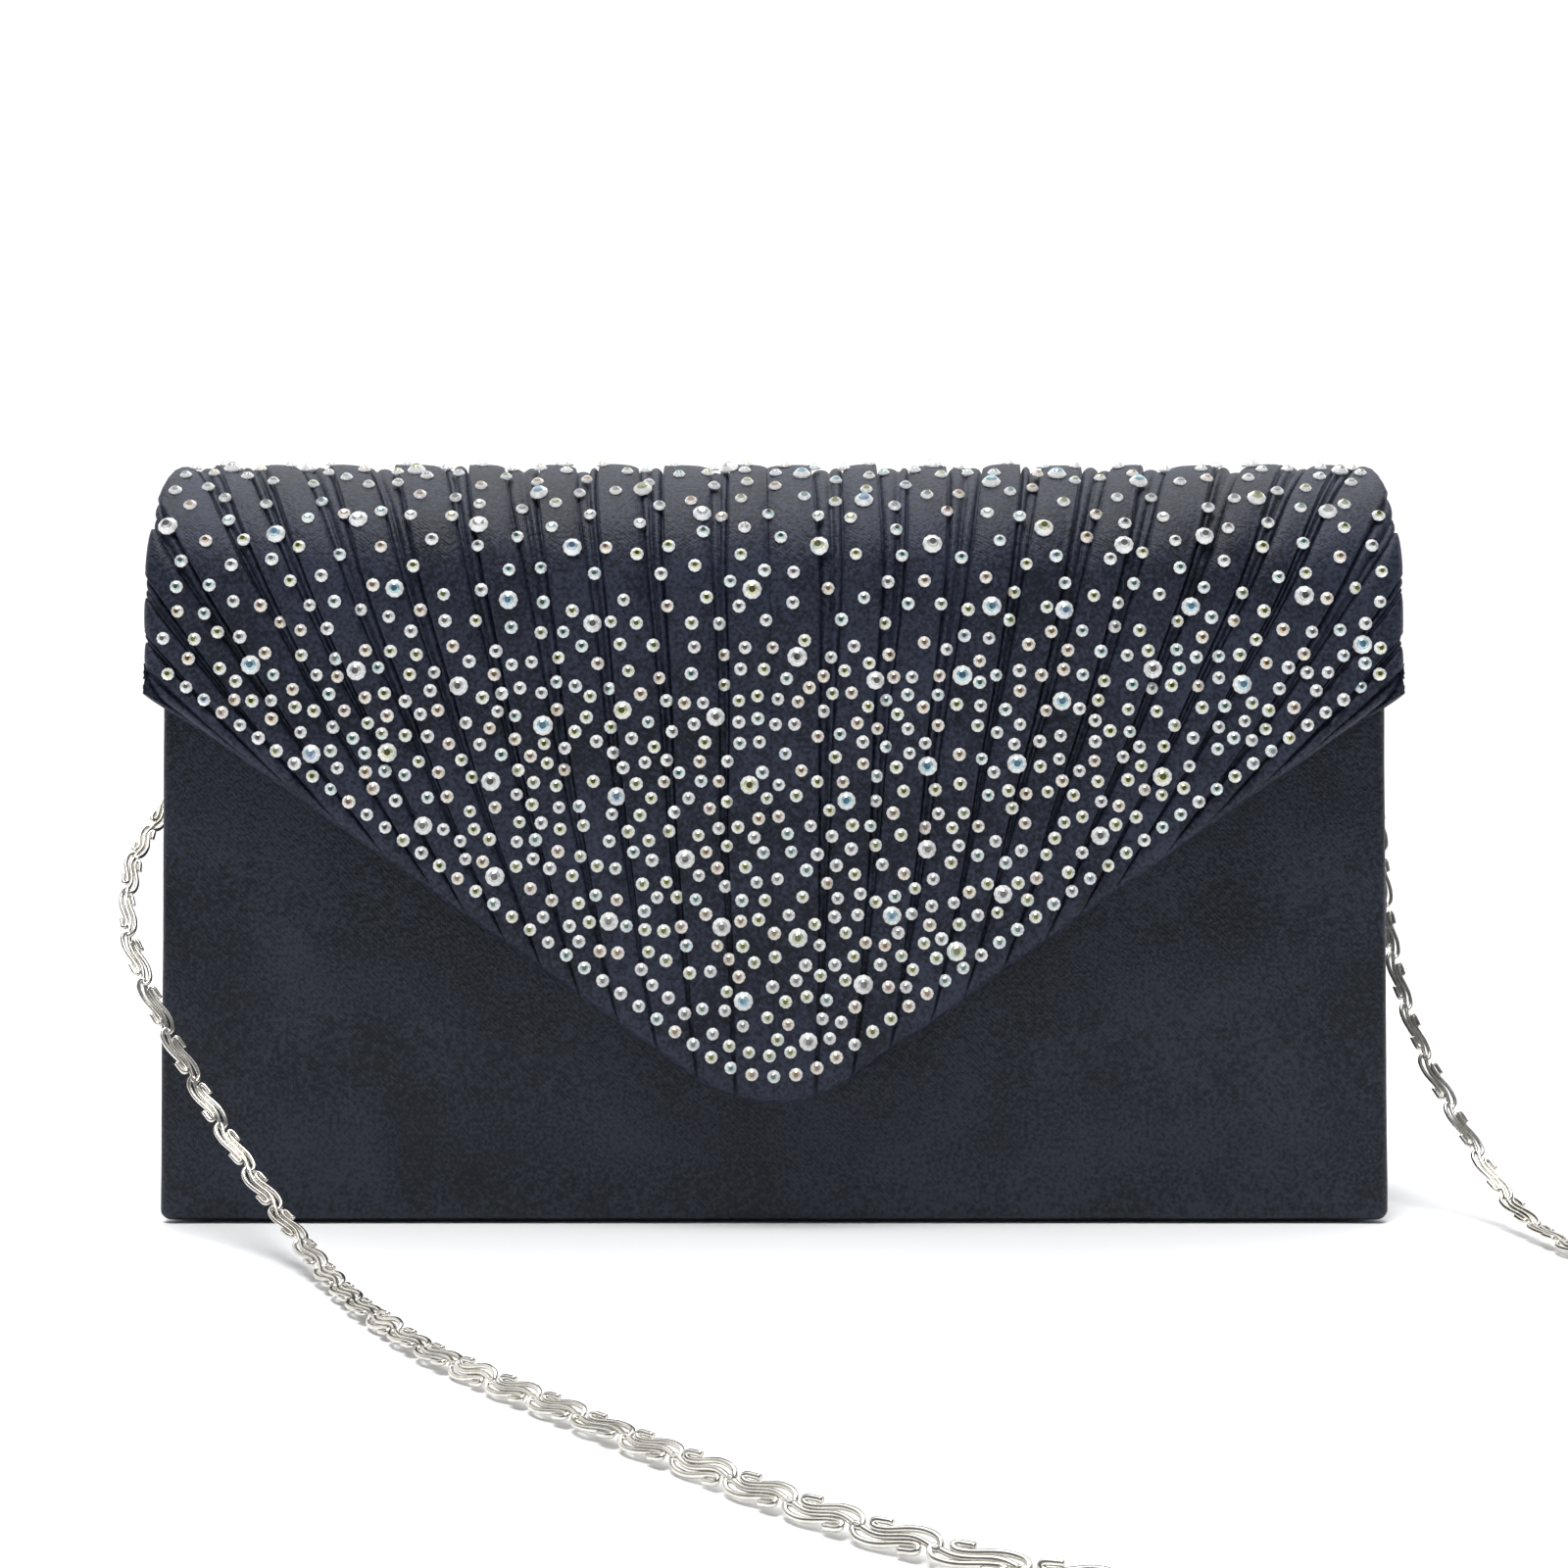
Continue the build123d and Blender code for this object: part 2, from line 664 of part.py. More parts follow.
def v_height(x, inset):
    """Height of a line that runs an inset inside the flap's V edge."""
    radius = V_TIP_RADIUS - inset
    slope_angle = math.atan(V_SLOPE)
    centre = V_APEX + V_TIP_RADIUS * math.hypot(1, V_SLOPE)
    if abs(x) < radius * math.sin(slope_angle):
        return centre - math.sqrt(radius**2 - x**2)
    return V_APEX + inset * math.hypot(1, V_SLOPE) + V_SLOPE * abs(x)


def border_row():
    """Evenly spaced stones just inside the V edge, from the tip out to both sides."""
    radius = V_TIP_RADIUS - BORDER_INSET
    slope_angle = math.atan(V_SLOPE)
    limit = FLAP_HALF - BORDER_INSET
    spots = [(0.0, v_height(0, BORDER_INSET))]
    x = 0.0
    while True:
        step_angle = slope_angle
        if x < radius * math.sin(slope_angle):
            step_angle = math.asin(x / radius) + BORDER_PITCH / (2 * radius)
        x += BORDER_PITCH * math.cos(min(step_angle, slope_angle))
        if x > limit:
            return spots
        spots.append((x, v_height(x, BORDER_INSET)))
        spots.append((-x, v_height(x, BORDER_INSET)))


def spacing_at(run):
    """Least distance between small stones: close below, open towards the top fold."""
    share = min(max((run - THIN_START) / (THIN_END - THIN_START), 0), 1)
    return SPACING_LOW + share * (SPACING_HIGH - SPACING_LOW)


def scatter(tries, spacing, fixed, dice):
    """Random spots on the unrolled flap, none nearer to another than the spacing."""
    spots = []
    half = FLAP_HALF - BORDER_INSET + 1.0
    for _ in range(tries):
        x = dice.uniform(-half, half)
        run = dice.uniform(V_APEX, STONE_LAST)
        if run < v_height(x, FIELD_INSET):
            continue
        least = spacing(run)
        near = (math.dist((x, run), spot) < least for spot in spots)
        near_fixed = (math.dist((x, run), spot) < SPACING_LOW for spot in fixed)
        if not any(near) and not any(near_fixed):
            spots.append((x, run))
    return spots


def stone_place(spot):
    """Where a stone sits on the outer face: flat below the bend, round the top above it."""
    x, run = spot
    swing = max(run - FLAP_BEND, 0) / FLAP_RADIUS
    normal = Vector(0, -math.cos(swing), math.sin(swing))
    if swing == 0:
        foot = Vector(x, FLAP_FRONT, run)
    else:
        foot = Vector(x, FLAP_FRONT + FLAP_RADIUS, FLAP_BEND) + normal * FLAP_RADIUS
    return Plane(origin=foot + normal * STONE_GLUE, x_dir=(1, 0, 0), z_dir=normal).location


def stones(spots, radius, height, label):
    """A group of loose, identical stones."""
    with BuildPart() as stone:
        Cone(radius, STONE_TABLE * radius, height, align=(Align.CENTER, Align.CENTER, Align.MIN))
    group = Compound([stone.part.solid().moved(stone_place(spot)) for spot in spots])
    print(label, len(spots))
    save(group, label)


dice = random.Random(STONE_SEED)
border = border_row()
large = scatter(LARGE_TRIES, lambda run: LARGE_SPACING, border, dice)
small = scatter(SMALL_TRIES, spacing_at, border + large, dice)
stones(border + small, SMALL_RADIUS, SMALL_HEIGHT, "rhinestones_small")
stones(large, LARGE_RADIUS, LARGE_HEIGHT, "rhinestones_large")
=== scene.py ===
import math

import bmesh
import bpy
import numpy as np
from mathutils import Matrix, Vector
from mathutils.bvhtree import BVHTree


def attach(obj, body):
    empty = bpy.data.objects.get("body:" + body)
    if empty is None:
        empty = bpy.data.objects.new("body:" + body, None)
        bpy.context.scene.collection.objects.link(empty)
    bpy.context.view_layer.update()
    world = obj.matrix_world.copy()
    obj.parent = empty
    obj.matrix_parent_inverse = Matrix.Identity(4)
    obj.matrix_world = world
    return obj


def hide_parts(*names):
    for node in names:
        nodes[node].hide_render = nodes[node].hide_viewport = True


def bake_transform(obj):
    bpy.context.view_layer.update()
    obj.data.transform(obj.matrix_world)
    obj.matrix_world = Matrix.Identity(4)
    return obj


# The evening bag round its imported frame. Shapes are worked out in millimetres; X is right, -Y front, Z up.
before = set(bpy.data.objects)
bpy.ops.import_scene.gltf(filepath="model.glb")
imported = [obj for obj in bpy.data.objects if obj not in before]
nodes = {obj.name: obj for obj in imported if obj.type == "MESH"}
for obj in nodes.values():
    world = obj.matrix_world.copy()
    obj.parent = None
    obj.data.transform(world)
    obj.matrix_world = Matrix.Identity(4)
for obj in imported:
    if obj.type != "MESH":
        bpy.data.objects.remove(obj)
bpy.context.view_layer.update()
MM = 0.001

# ---------------------------------------------------------------- camera and chain
CAMERA_PLACE = (0.0017, -0.390, 0.075)
CAMERA_LENS = 49.16

CHAIN_LEFT = [
    (-109.34, 0, 72.5), (-111.6, -9, 66.5), (-111.4, -20, 60.5), (-109.4, -29.5, 51.5),
    (-104.6, -35, 42), (-96, -39, 28), (-84.7, -47, 14), (-74.4, -58, 5.5), (-66, -72, 1.75),
    (-55.5, -94.5, 1.75), (-41, -119, 1.75), (-23.5, -140, 1.75), (-6.5, -161.5, 1.75),
    (11.5, -182, 1.75), (34, -197, 1.75), (58.5, -204.5, 1.75), (83, -204.5, 1.75),
    (105, -195, 1.75), (122.5, -181.5, 1.75), (137, -167, 1.75),
]
CHAIN_RIGHT = [
    (146, -152, 5.25), (146.8, -136, 4.4), (145, -119, 1.75), (140, -100, 1.75), (133.5, -81, 1.75),
    (128, -62, 1.75), (125.5, -45, 1.75), (124, -31, 3.5), (120.8, -22.5, 11.5), (116.6, -16.5, 21),
    (112.9, -10.5, 31.5), (110.8, -5.5, 44), (110, -1.8, 58), (109.34, 0, 72.5),
]
COIL_CENTRE = (125.0, -150.0)
COIL_OUTER = 22.3
COIL_STEP = 3.3
COIL_START = math.radians(-38)
COIL_TURNS = 4
COIL_END = 4.05
COIL_POINTS = 57
COIL_LOW = 1.75
COIL_HIGH = 5.25
COIL_RISE = 0.14

LINK_PITCH = 9.6
LINK_WIRE = 0.37
LINK_LEAN = 0.48
LINK_LEAN_HALF = 5.4
LINK_END = 4.8
LINK_SIDES = 8
LINK_STEPS = 4
LINK_SCROLL = [
    (-0.9, 1.5, 0.1), (-1.9, 1.56, 0.15), (-2.7, 1.5, 0.2), (-3.15, 1.15, 0.2), (-2.8, 0.8, 0.1),
    (-1.6, 0.76, 0.0), (0.8, 0.78, 0.0), (3.0, 0.85, 0.0), (4.4, 0.88, 0.0), (5.1, 0.58, 0.0),
    (5.3, 0.1, 0.0), (4.9, -0.26, 0.0), (3.8, -0.22, 0.0), (2.0, -0.05, 0.0),
]
LINK_MARGIN = 0.2
LINK_SEED = 4
LINK_FACING = Vector((0.0, -0.85, 0.55))
LINK_ROLL = 24.0


def add_mesh(name, points, faces, smooth=True, merge=0.0):
    """A mesh object made of points in millimetres, with its normals outward."""
    mesh = bpy.data.meshes.new(name)
    mesh.from_pydata([tuple(p) for p in np.asarray(points, float) * MM], [], faces)
    work = bmesh.new()
    work.from_mesh(mesh)
    if merge:
        bmesh.ops.remove_doubles(work, verts=work.verts, dist=merge * MM)
        bmesh.ops.dissolve_degenerate(work, edges=work.edges, dist=1e-9)
    bmesh.ops.recalc_face_normals(work, faces=work.faces)
    for face in work.faces:
        face.smooth = smooth
    work.to_mesh(mesh)
    work.free()
    obj = bpy.data.objects.new(name, mesh)
    bpy.context.scene.collection.objects.link(obj)
    return obj


def set_camera():
    data = bpy.data.cameras.new("camera")
    data.lens = CAMERA_LENS
    data.sensor_width = 36.0
    camera = bpy.data.objects.new("camera", data)
    camera.location = CAMERA_PLACE
    camera.rotation_euler = (math.radians(90), 0, 0)
    bpy.context.scene.collection.objects.link(camera)
    bpy.context.scene.camera = camera


def coil_points():
    """The put-away length: a two-turn spiral inward on the floor, then the same one outward on top of it."""
    points = []
    for turn in np.linspace(0, COIL_END, COIL_POINTS):
        fold = min(turn, COIL_TURNS - turn)
        radius = COIL_OUTER - COIL_STEP * fold
        angle = COIL_START + 2 * math.pi * turn
        lift = min(max((turn - COIL_TURNS / 2) / COIL_RISE + 0.5, 0), 1)
        height = COIL_LOW + (COIL_HIGH - COIL_LOW) * lift
        x = COIL_CENTRE[0] + radius * math.cos(angle)
        y = COIL_CENTRE[1] + radius * math.sin(angle)
        points.append((x, y, height))
    return points


def route_line(controls):
    """Points in millimetres along the smooth NURBS line of the route."""
    curve = bpy.data.curves.new("route", "CURVE")
    curve.dimensions = "3D"
    spline = curve.splines.new("NURBS")
    spline.points.add(len(controls) - 1)
    for point, place in zip(spline.points, controls):
        point.co = (*(c * MM for c in place), 1.0)
    spline.order_u = 3
    spline.use_endpoint_u = True
    spline.resolution_u = 8
    route = bpy.data.objects.new("route", curve)
    bpy.context.scene.collection.objects.link(route)
    bpy.context.view_layer.update()
    mesh = bpy.data.meshes.new_from_object(route)
    line = np.array([v.co for v in mesh.vertices]) / MM
    bpy.data.objects.remove(route)
    bpy.data.meshes.remove(mesh)
    return line


def smooth_line(points, steps):
    """A Catmull-Rom line through the points, with that many steps in each gap."""
    p = np.array(points, float)
    p = np.vstack([2 * p[0] - p[1], p, 2 * p[-1] - p[-2]])
    made = []
    for i in range(1, len(p) - 2):
        for t in np.linspace(0, 1, steps, endpoint=False):
            a = 2 * p[i]
            b = (p[i + 1] - p[i - 1]) * t
            c = (2 * p[i - 1] - 5 * p[i] + 4 * p[i + 1] - p[i + 2]) * t * t
            d = (3 * p[i] - p[i - 1] - 3 * p[i + 1] + p[i + 2]) * t**3
            made.append((a + b + c + d) / 2)
    made.append(p[-2])
    return np.array(made)


def unit(v):
    return v / np.maximum(np.linalg.norm(v, axis=-1, keepdims=True), 1e-12)


def tube(line, radii, sides, closed=False):
    """Points and faces of a round wire along a line, with capped ends unless the line is closed."""
    line = np.asarray(line, float)
    n = len(line)
    if closed:
        ahead, behind = np.roll(line, -1, 0), np.roll(line, 1, 0)
    else:
        ahead, behind = np.vstack([line[1:], line[-1:]]), np.vstack([line[:1], line[:-1]])
    tangent = unit(ahead - behind)
    side = np.zeros((n, 3))
    start = np.eye(3)[np.argmin(np.abs(tangent[0]))]
    for i in range(n):
        start = start - tangent[i] * (start @ tangent[i])
        start = start / np.linalg.norm(start)
        side[i] = start
    other = np.cross(tangent, side)
    turn = np.linspace(0, 2 * math.pi, sides, endpoint=False)
    radii = np.broadcast_to(radii, n)
    ring = np.cos(turn)[None, :, None] * side[:, None] + np.sin(turn)[None, :, None] * other[:, None]
    points = (line[:, None] + ring * radii[:, None, None]).reshape(-1, 3)
    faces = []
    for i in range(n if closed else n - 1):
        for j in range(sides):
            k, a, b = (j + 1) % sides, i * sides, ((i + 1) % n) * sides
            faces.append((a + j, a + k, b + k, b + j))
    if not closed:
        faces.append(tuple(range(sides))[::-1])
        faces.append(tuple((n - 1) * sides + j for j in range(sides)))
    return points, faces


def joined(parts):
    """Several (points, faces) pairs as one."""
    points, faces, base = [], [], 0
    for p, f in parts:
        points.append(np.asarray(p, float))
        faces += [tuple(i + base for i in face) for face in f]
        base += len(p)
    return np.vstack(points), faces


def link_shape():
    """One scroll link lying along X: an S of three leaning strands whose ends curl back outside it."""
    half = np.array(LINK_SCROLL)
    turned = half[::-1] * (-1, -1, 1)
    flat = smooth_line(np.vstack([half, (0, 0, 0), turned]), LINK_STEPS)
    flat[:, 1] += LINK_LEAN * np.sin(math.pi * flat[:, 0] / LINK_LEAN_HALF)
    return tube(flat, LINK_WIRE, LINK_SIDES)


def chain_strap(line):
    """Every link of the strap, each hooked into the next along the line."""
    dice = np.random.default_rng(LINK_SEED)
    step = np.linalg.norm(np.diff(line, axis=0), axis=1)
    run = np.concatenate([[0], np.cumsum(step)])
    first = LINK_MARGIN + LINK_END
    last = run[-1] - first
    count = round((last - first) / LINK_PITCH) + 1
    points, faces = link_shape()
    parts = []
    for middle in np.linspace(first, last, count):
        tail = Vector(np.interp(middle - LINK_END, run, line[:, k]) for k in range(3))
        head = Vector(np.interp(middle + LINK_END, run, line[:, k]) for k in range(3))
        along = (head - tail).normalized()
        normal = (LINK_FACING - along * LINK_FACING.dot(along)).normalized()
        roll = math.radians(dice.uniform(-LINK_ROLL, LINK_ROLL))
        across = normal.cross(along)
        normal = normal * math.cos(roll) + across * math.sin(roll)
        across = normal.cross(along)
        turn = np.array([along, across, normal])
        centre = np.array(tail + along * LINK_END)
        parts.append((points @ turn + centre, faces))
    return joined(parts)


set_camera()
chain_line = route_line(CHAIN_LEFT + coil_points() + CHAIN_RIGHT)
chain = add_mesh("chain_strap", *chain_strap(chain_line))
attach(chain, "root")
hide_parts("chain_left_run", "chain_coil", "chain_right_run")

# ---------------------------------------------------------------- thin shells
EDGE_SHARES = np.array([0, 0.034, 0.134, 0.293, 0.5, 0.741, 1.0])


def grid_quads(rows, columns, base=0):
    """Faces of a grid whose points run along each row in turn."""
    i, j = np.meshgrid(np.arange(rows - 1), np.arange(columns - 1), indexing="ij")
    a = (base + i * columns + j).ravel()
    return np.stack([a, a + 1, a + 1 + columns, a + columns], 1)


def close_shell(front, back, quads):
    """Points and faces of a closed shell: the front, the back, and a band round every free edge."""
    count = len(front)
    edges = np.concatenate([quads[:, [k, (k + 1) % 4]] for k in range(4)])
    key = np.sort(edges, 1)
    _, first, uses = np.unique(key, axis=0, return_index=True, return_counts=True)
    free = edges[first[uses == 1]]
    faces = [tuple(q) for q in quads.tolist()]
    faces += [tuple(q[::-1]) for q in (quads + count).tolist()]
    faces += [(b, a, a + count, b + count) for a, b in free.tolist()]
    return np.vstack([front, back]), faces


def edge_distance(flat, outline):
    """How far in from the outline each flat point lies, and the way inward from there."""
    a, b = outline[:-1], outline[1:]
    run = b - a
    square = np.maximum((run**2).sum(1), 1e-12)
    normal = unit(np.stack([-run[:, 1], run[:, 0]], 1))
    inset, inward = np.zeros(len(flat)), np.zeros((len(flat), 2))
    for start in range(0, len(flat), 4000):
        p = flat[start:start + 4000]
        t = np.clip(((p[:, None] - a) * run).sum(2) / square, 0, 1)
        away = p[:, None] - (a + t[..., None] * run)
        far = np.linalg.norm(away, axis=2)
        near = far.argmin(1)
        rows = np.arange(len(p))
        inset[start:start + 4000] = far[rows, near]
        way = np.where(far[rows, near][:, None] > 1e-3, unit(away[rows, near]), normal[near])
        inward[start:start + 4000] = way
    return inset, inward


def rolled_shell(name, flat, quads, outline, place, thick, front_roll, back_roll, relief=0.0):
    """A padded panel with rolled edges. place(flat, depth) puts flat points below the outer surface."""
    inset, inward = edge_distance(flat, outline)
    lean = np.arcsin(1 - np.clip(inset / front_roll, 0, 1))
    depth = front_roll * (1 - np.cos(lean)) - relief * np.cos(lean)
    shift = -(relief * np.sin(lean))[..., None] * inward if np.ndim(relief) else 0.0
    front = place(flat + shift, depth)
    lean = np.arcsin(1 - np.clip(inset / back_roll, 0, 1))
    back = place(flat + shift, thick - back_roll * (1 - np.cos(lean)))
    return add_mesh(name, *close_shell(front, back, quads), merge=0.001)


def edge_lines(low, high, roll, middle):
    """Places of grid lines from low to high, close together near both ends."""
    share = EDGE_SHARES * roll
    inner = np.linspace(low + roll, high - roll, middle + 2)[1:-1]
    return np.concatenate([low + share, inner, high - share[::-1]])


def rounded_panel(across, up, corner, roll, middle):
    """Flat points, faces and outline of a rectangle with rounded corners. across and up are (low, high)."""
    x, y = np.meshgrid(edge_lines(*across, roll, middle[0]), edge_lines(*up, roll, middle[1]))
    flat = np.stack([x.ravel(), y.ravel()], 1)
    centre = np.clip(flat, (across[0] + corner, up[0] + corner), (across[1] - corner, up[1] - corner))
    away = flat - centre
    far = np.linalg.norm(away, axis=1, keepdims=True)
    flat = np.where(far > corner, centre + away * corner / np.maximum(far, 1e-9), flat)
    turn = np.linspace(0, math.pi / 2, 9)
    outline = []
    corners = [(across[1], up[1]), (across[0], up[1]), (across[0], up[0]), (across[1], up[0])]
    for quarter, (cx, cy) in enumerate(corners):
        cx += corner if cx == across[0] else -corner
        cy += corner if cy == up[0] else -corner
        angle = turn + quarter * math.pi / 2
        outline.append(np.stack([cx + corner * np.cos(angle), cy + corner * np.sin(angle)], 1))
    outline = np.vstack(outline + [outline[0][:1]])
    return flat, grid_quads(*x.shape), outline


def ripple(flat, size, seed):
    """A smooth, irregular field between about -1 and 1, with lumps of that size in millimetres."""
    dice = np.random.default_rng(seed)
    total = np.zeros(len(flat))
    for _ in range(9):
        way = dice.uniform(0, 2 * math.pi)
        length = size * dice.uniform(0.7, 1.8)
        phase = dice.uniform(0, 2 * math.pi)
        along = flat[:, 0] * math.cos(way) + flat[:, 1] * math.sin(way)
        total += np.sin(along * 2 * math.pi / length + phase)
    return total / 5


# ---------------------------------------------------------------- flap
FLAP_HALF = 105.5
FLAP_FRONT = -32.0
FLAP_RADIUS = 25.0
FLAP_BEND = 107.0
FRONT_CENTRE = -7.0
BACK_CENTRE = -3.0
FLAP_SHELL = 4.8
FLAP_ROLL = 2.0
FLAP_BACK_ROLL = 0.6
FLAP_LINING = 0.8
V_APEX = 16.5
V_SLOPE = 0.705
V_TIP_RADIUS = 22.8
V_TIP_CENTRE = 44.4
V_CORNER = 9.5
ARC_RUN = FLAP_RADIUS * math.pi / 2
RUN_END = FLAP_BEND + 2 * ARC_RUN + BACK_CENTRE - FRONT_CENTRE
RUN_SPREAD = 148.0
PITCH_LOW = 6.47
PITCH_HIGH = 12.2
PLEAT_SIDE = 8.65
PLEAT_COUNT = 16
FACE_LOW = 0.93
FACE_HIGH = (0.44, 0.63)
FACE_MARKS = [0, 0.03, 0.08, 0.2, 0.4, 0.6, 0.8, 0.91, 0.96, 0.99]
PLEAT_SEED = 7
FLAP_ROWS = 34
FLAP_ROWS_BACK = 18
GROOVE_MARKS = [0.03, 0.1, 0.17, 0.24, 0.33, 0.42, 0.49, 0.55, 0.62, 0.69, 0.77, 0.85, 0.91, 0.97]


def v_height(x, half, rise):
    """Height of the flap's lower edge at x, with its rounded tip and its rounded corners at the sides."""
    x = np.minimum(np.abs(x), half)
    slant = math.hypot(1, V_SLOPE)
    height = V_APEX + rise + V_SLOPE * x
    tip_reach = V_TIP_RADIUS * V_SLOPE / slant
    tip = V_TIP_CENTRE + rise - np.sqrt(np.maximum(V_TIP_RADIUS**2 - x**2, 0))
    height = np.where(x < tip_reach, tip, height)
    corner_x = half - V_CORNER
    corner_z = V_APEX + rise + V_SLOPE * corner_x + V_CORNER * slant
    corner = corner_z - np.sqrt(np.maximum(V_CORNER**2 - (x - corner_x) ** 2, 0))
    return np.where(x > corner_x + V_CORNER * V_SLOPE / slant, corner, height)


def flap_line(low, high, half, rise, share):
    """Flat points at the shares of the way up one fold line, which spreads from low to high pleat units."""
    unit_now = low + (high - low) * share
    scale = half / FLAP_HALF
    foot = PITCH_LOW * unit_now * scale
    head = PITCH_HIGH * unit_now * scale
    x = foot + (head - foot) * (1.2 * share - 0.2 * share**2)
    start = float(v_height(PITCH_LOW * low * scale, half, rise))
    return np.stack([x, start + (RUN_SPREAD - start) * share], 1)


def flap_grid(low, high, half, rise, edge, rows, rows_back):
    """Flat points (x, run) of the flap, its faces and outline.

    low and high are the fold lines' pleat units at the foot and at the head.
    """
    trial = np.linspace(0, 1, 400)
    share_edge = EDGE_SHARES * edge
    columns, long = [], []
    for u_low, u_high in zip(low, high):
        line = flap_line(u_low, u_high, half, rise, trial)
        inside = abs(u_high) <= PLEAT_SIDE + 1e-6
        long.append(inside)
        crossed = np.flatnonzero(np.abs(line[:, 0]) >= half - 1e-6)
        end = 1.0
        if not inside and len(crossed):
            k = crossed[0]
            before = np.abs(line[max(k - 1, 0), 0])
            gap = max(np.abs(line[k, 0]) - before, 1e-9)
            end = trial[max(k - 1, 0)] + (half - before) / gap * (trial[1]) if k else 0.0
        length = max((RUN_SPREAD - line[0, 1]) * end * 1.05, 1e-6)
        near = share_edge * min(1.0, length / (4 * edge)) / length
        if inside:
            marks = np.concatenate([near, np.linspace(near[-1], 1, rows + 8)[1:]])
        else:
            middle = np.linspace(near[-1], 1 - near[-1], rows + 2)[1:-1]
            marks = np.concatenate([near, middle, 1 - near[::-1]])
        points = flap_line(u_low, u_high, half, rise, marks * end)
        points[:, 0] = np.clip(points[:, 0], -half, half)
        if not inside:
            points[-1, 0] = math.copysign(half, u_high)
        columns.append(points)
    lower = np.stack(columns, 1)
    count = lower.shape[1]
    quads = [grid_quads(lower.shape[0], count)]
    kept = np.flatnonzero(long)
    top = lower[-1, kept]
    flat, base = [lower.reshape(-1, 2)], lower.shape[0] * count
    previous = (lower.shape[0] - 1) * count + kept
    for run in np.linspace(RUN_SPREAD, RUN_END, rows_back + 1)[1:]:
        row = top.copy()
        row[:, 1] = run
        flat.append(row)
        here = base + np.arange(len(kept))
        quads.append(np.stack([previous[:-1], previous[1:], here[1:], here[:-1]], 1))
        previous, base = here, base + len(kept)
    x = half * np.sin(np.linspace(-math.pi / 2, math.pi / 2, 241))
    outline = np.stack([x, v_height(x, half, rise)], 1)
    outline = np.vstack([(-half, RUN_END + 50), outline, (half, RUN_END + 50)])
    return np.vstack(flat), np.vstack(quads), outline, kept


def flap_place(flat, depth):
    """From flat points and a depth below the outer face to points on the bent flap."""
    x, run = flat[:, 0], flat[:, 1]
    depth = np.broadcast_to(depth, len(flat))
    radius = FLAP_RADIUS - depth
    first = (run - FLAP_BEND) / FLAP_RADIUS
    second = (run - FLAP_BEND - ARC_RUN - (BACK_CENTRE - FRONT_CENTRE)) / FLAP_RADIUS
    along = run - FLAP_BEND - ARC_RUN
    y = np.select(
        [first <= 0, first < math.pi / 2, second <= 0],
        [FLAP_FRONT + depth, FRONT_CENTRE - radius * np.cos(first), FRONT_CENTRE + along],
        BACK_CENTRE + radius * np.sin(second))
    z = np.select(
        [first <= 0, first < math.pi / 2, second <= 0],
        [run, FLAP_BEND + radius * np.sin(first), FLAP_BEND + radius],
        FLAP_BEND + radius * np.cos(second))
    return np.stack([x, y, z], 1)


def pleat_columns(dice):
    """Each column of the pleated flap: its units at the foot and head, its pleat and its place across it."""
    edge = FLAP_HALF / PITCH_LOW
    marks = np.arange(-PLEAT_COUNT + 1, PLEAT_COUNT, dtype=float)
    foot = marks + dice.uniform(-0.11, 0.11, len(marks))
    head = marks + dice.uniform(-0.13, 0.13, len(marks))
    for k in (-9, 9):
        at = int(k + PLEAT_COUNT - 1)
        foot[at], head[at] = math.copysign(8.72, k), math.copysign(PLEAT_SIDE, k)
    foot = np.concatenate([[-edge], foot, [edge]])
    head = np.concatenate([[-edge], head, [edge]])
    rows = []
    for k in range(len(foot) - 1):
        flip = k < PLEAT_COUNT
        wide = dice.uniform(*FACE_HIGH)
        marks = [(f * FACE_LOW, f * wide, f, -1.0) for f in FACE_MARKS]
        marks += [(FACE_LOW + (1 - FACE_LOW) * g, wide + (1 - wide) * g, -1.0, g) for g in GROOVE_MARKS]
        if flip:
            marks = [(1 - a, 1 - b, f, g) for a, b, f, g in marks]
        for a, b, f, g in sorted(marks):
            low = foot[k] + (foot[k + 1] - foot[k]) * a
            high = head[k] + (head[k + 1] - head[k]) * b
            rows.append((low, high, k, f, g))
    if rows[-1][0] < edge - 1e-6:
        rows.append((edge, edge, len(foot) - 2, -1.0, 1.0))
    if rows[0][0] > -edge + 1e-6:
        rows.insert(0, (-edge, -edge, 0, -1.0, 1.0))
    return np.array(rows)


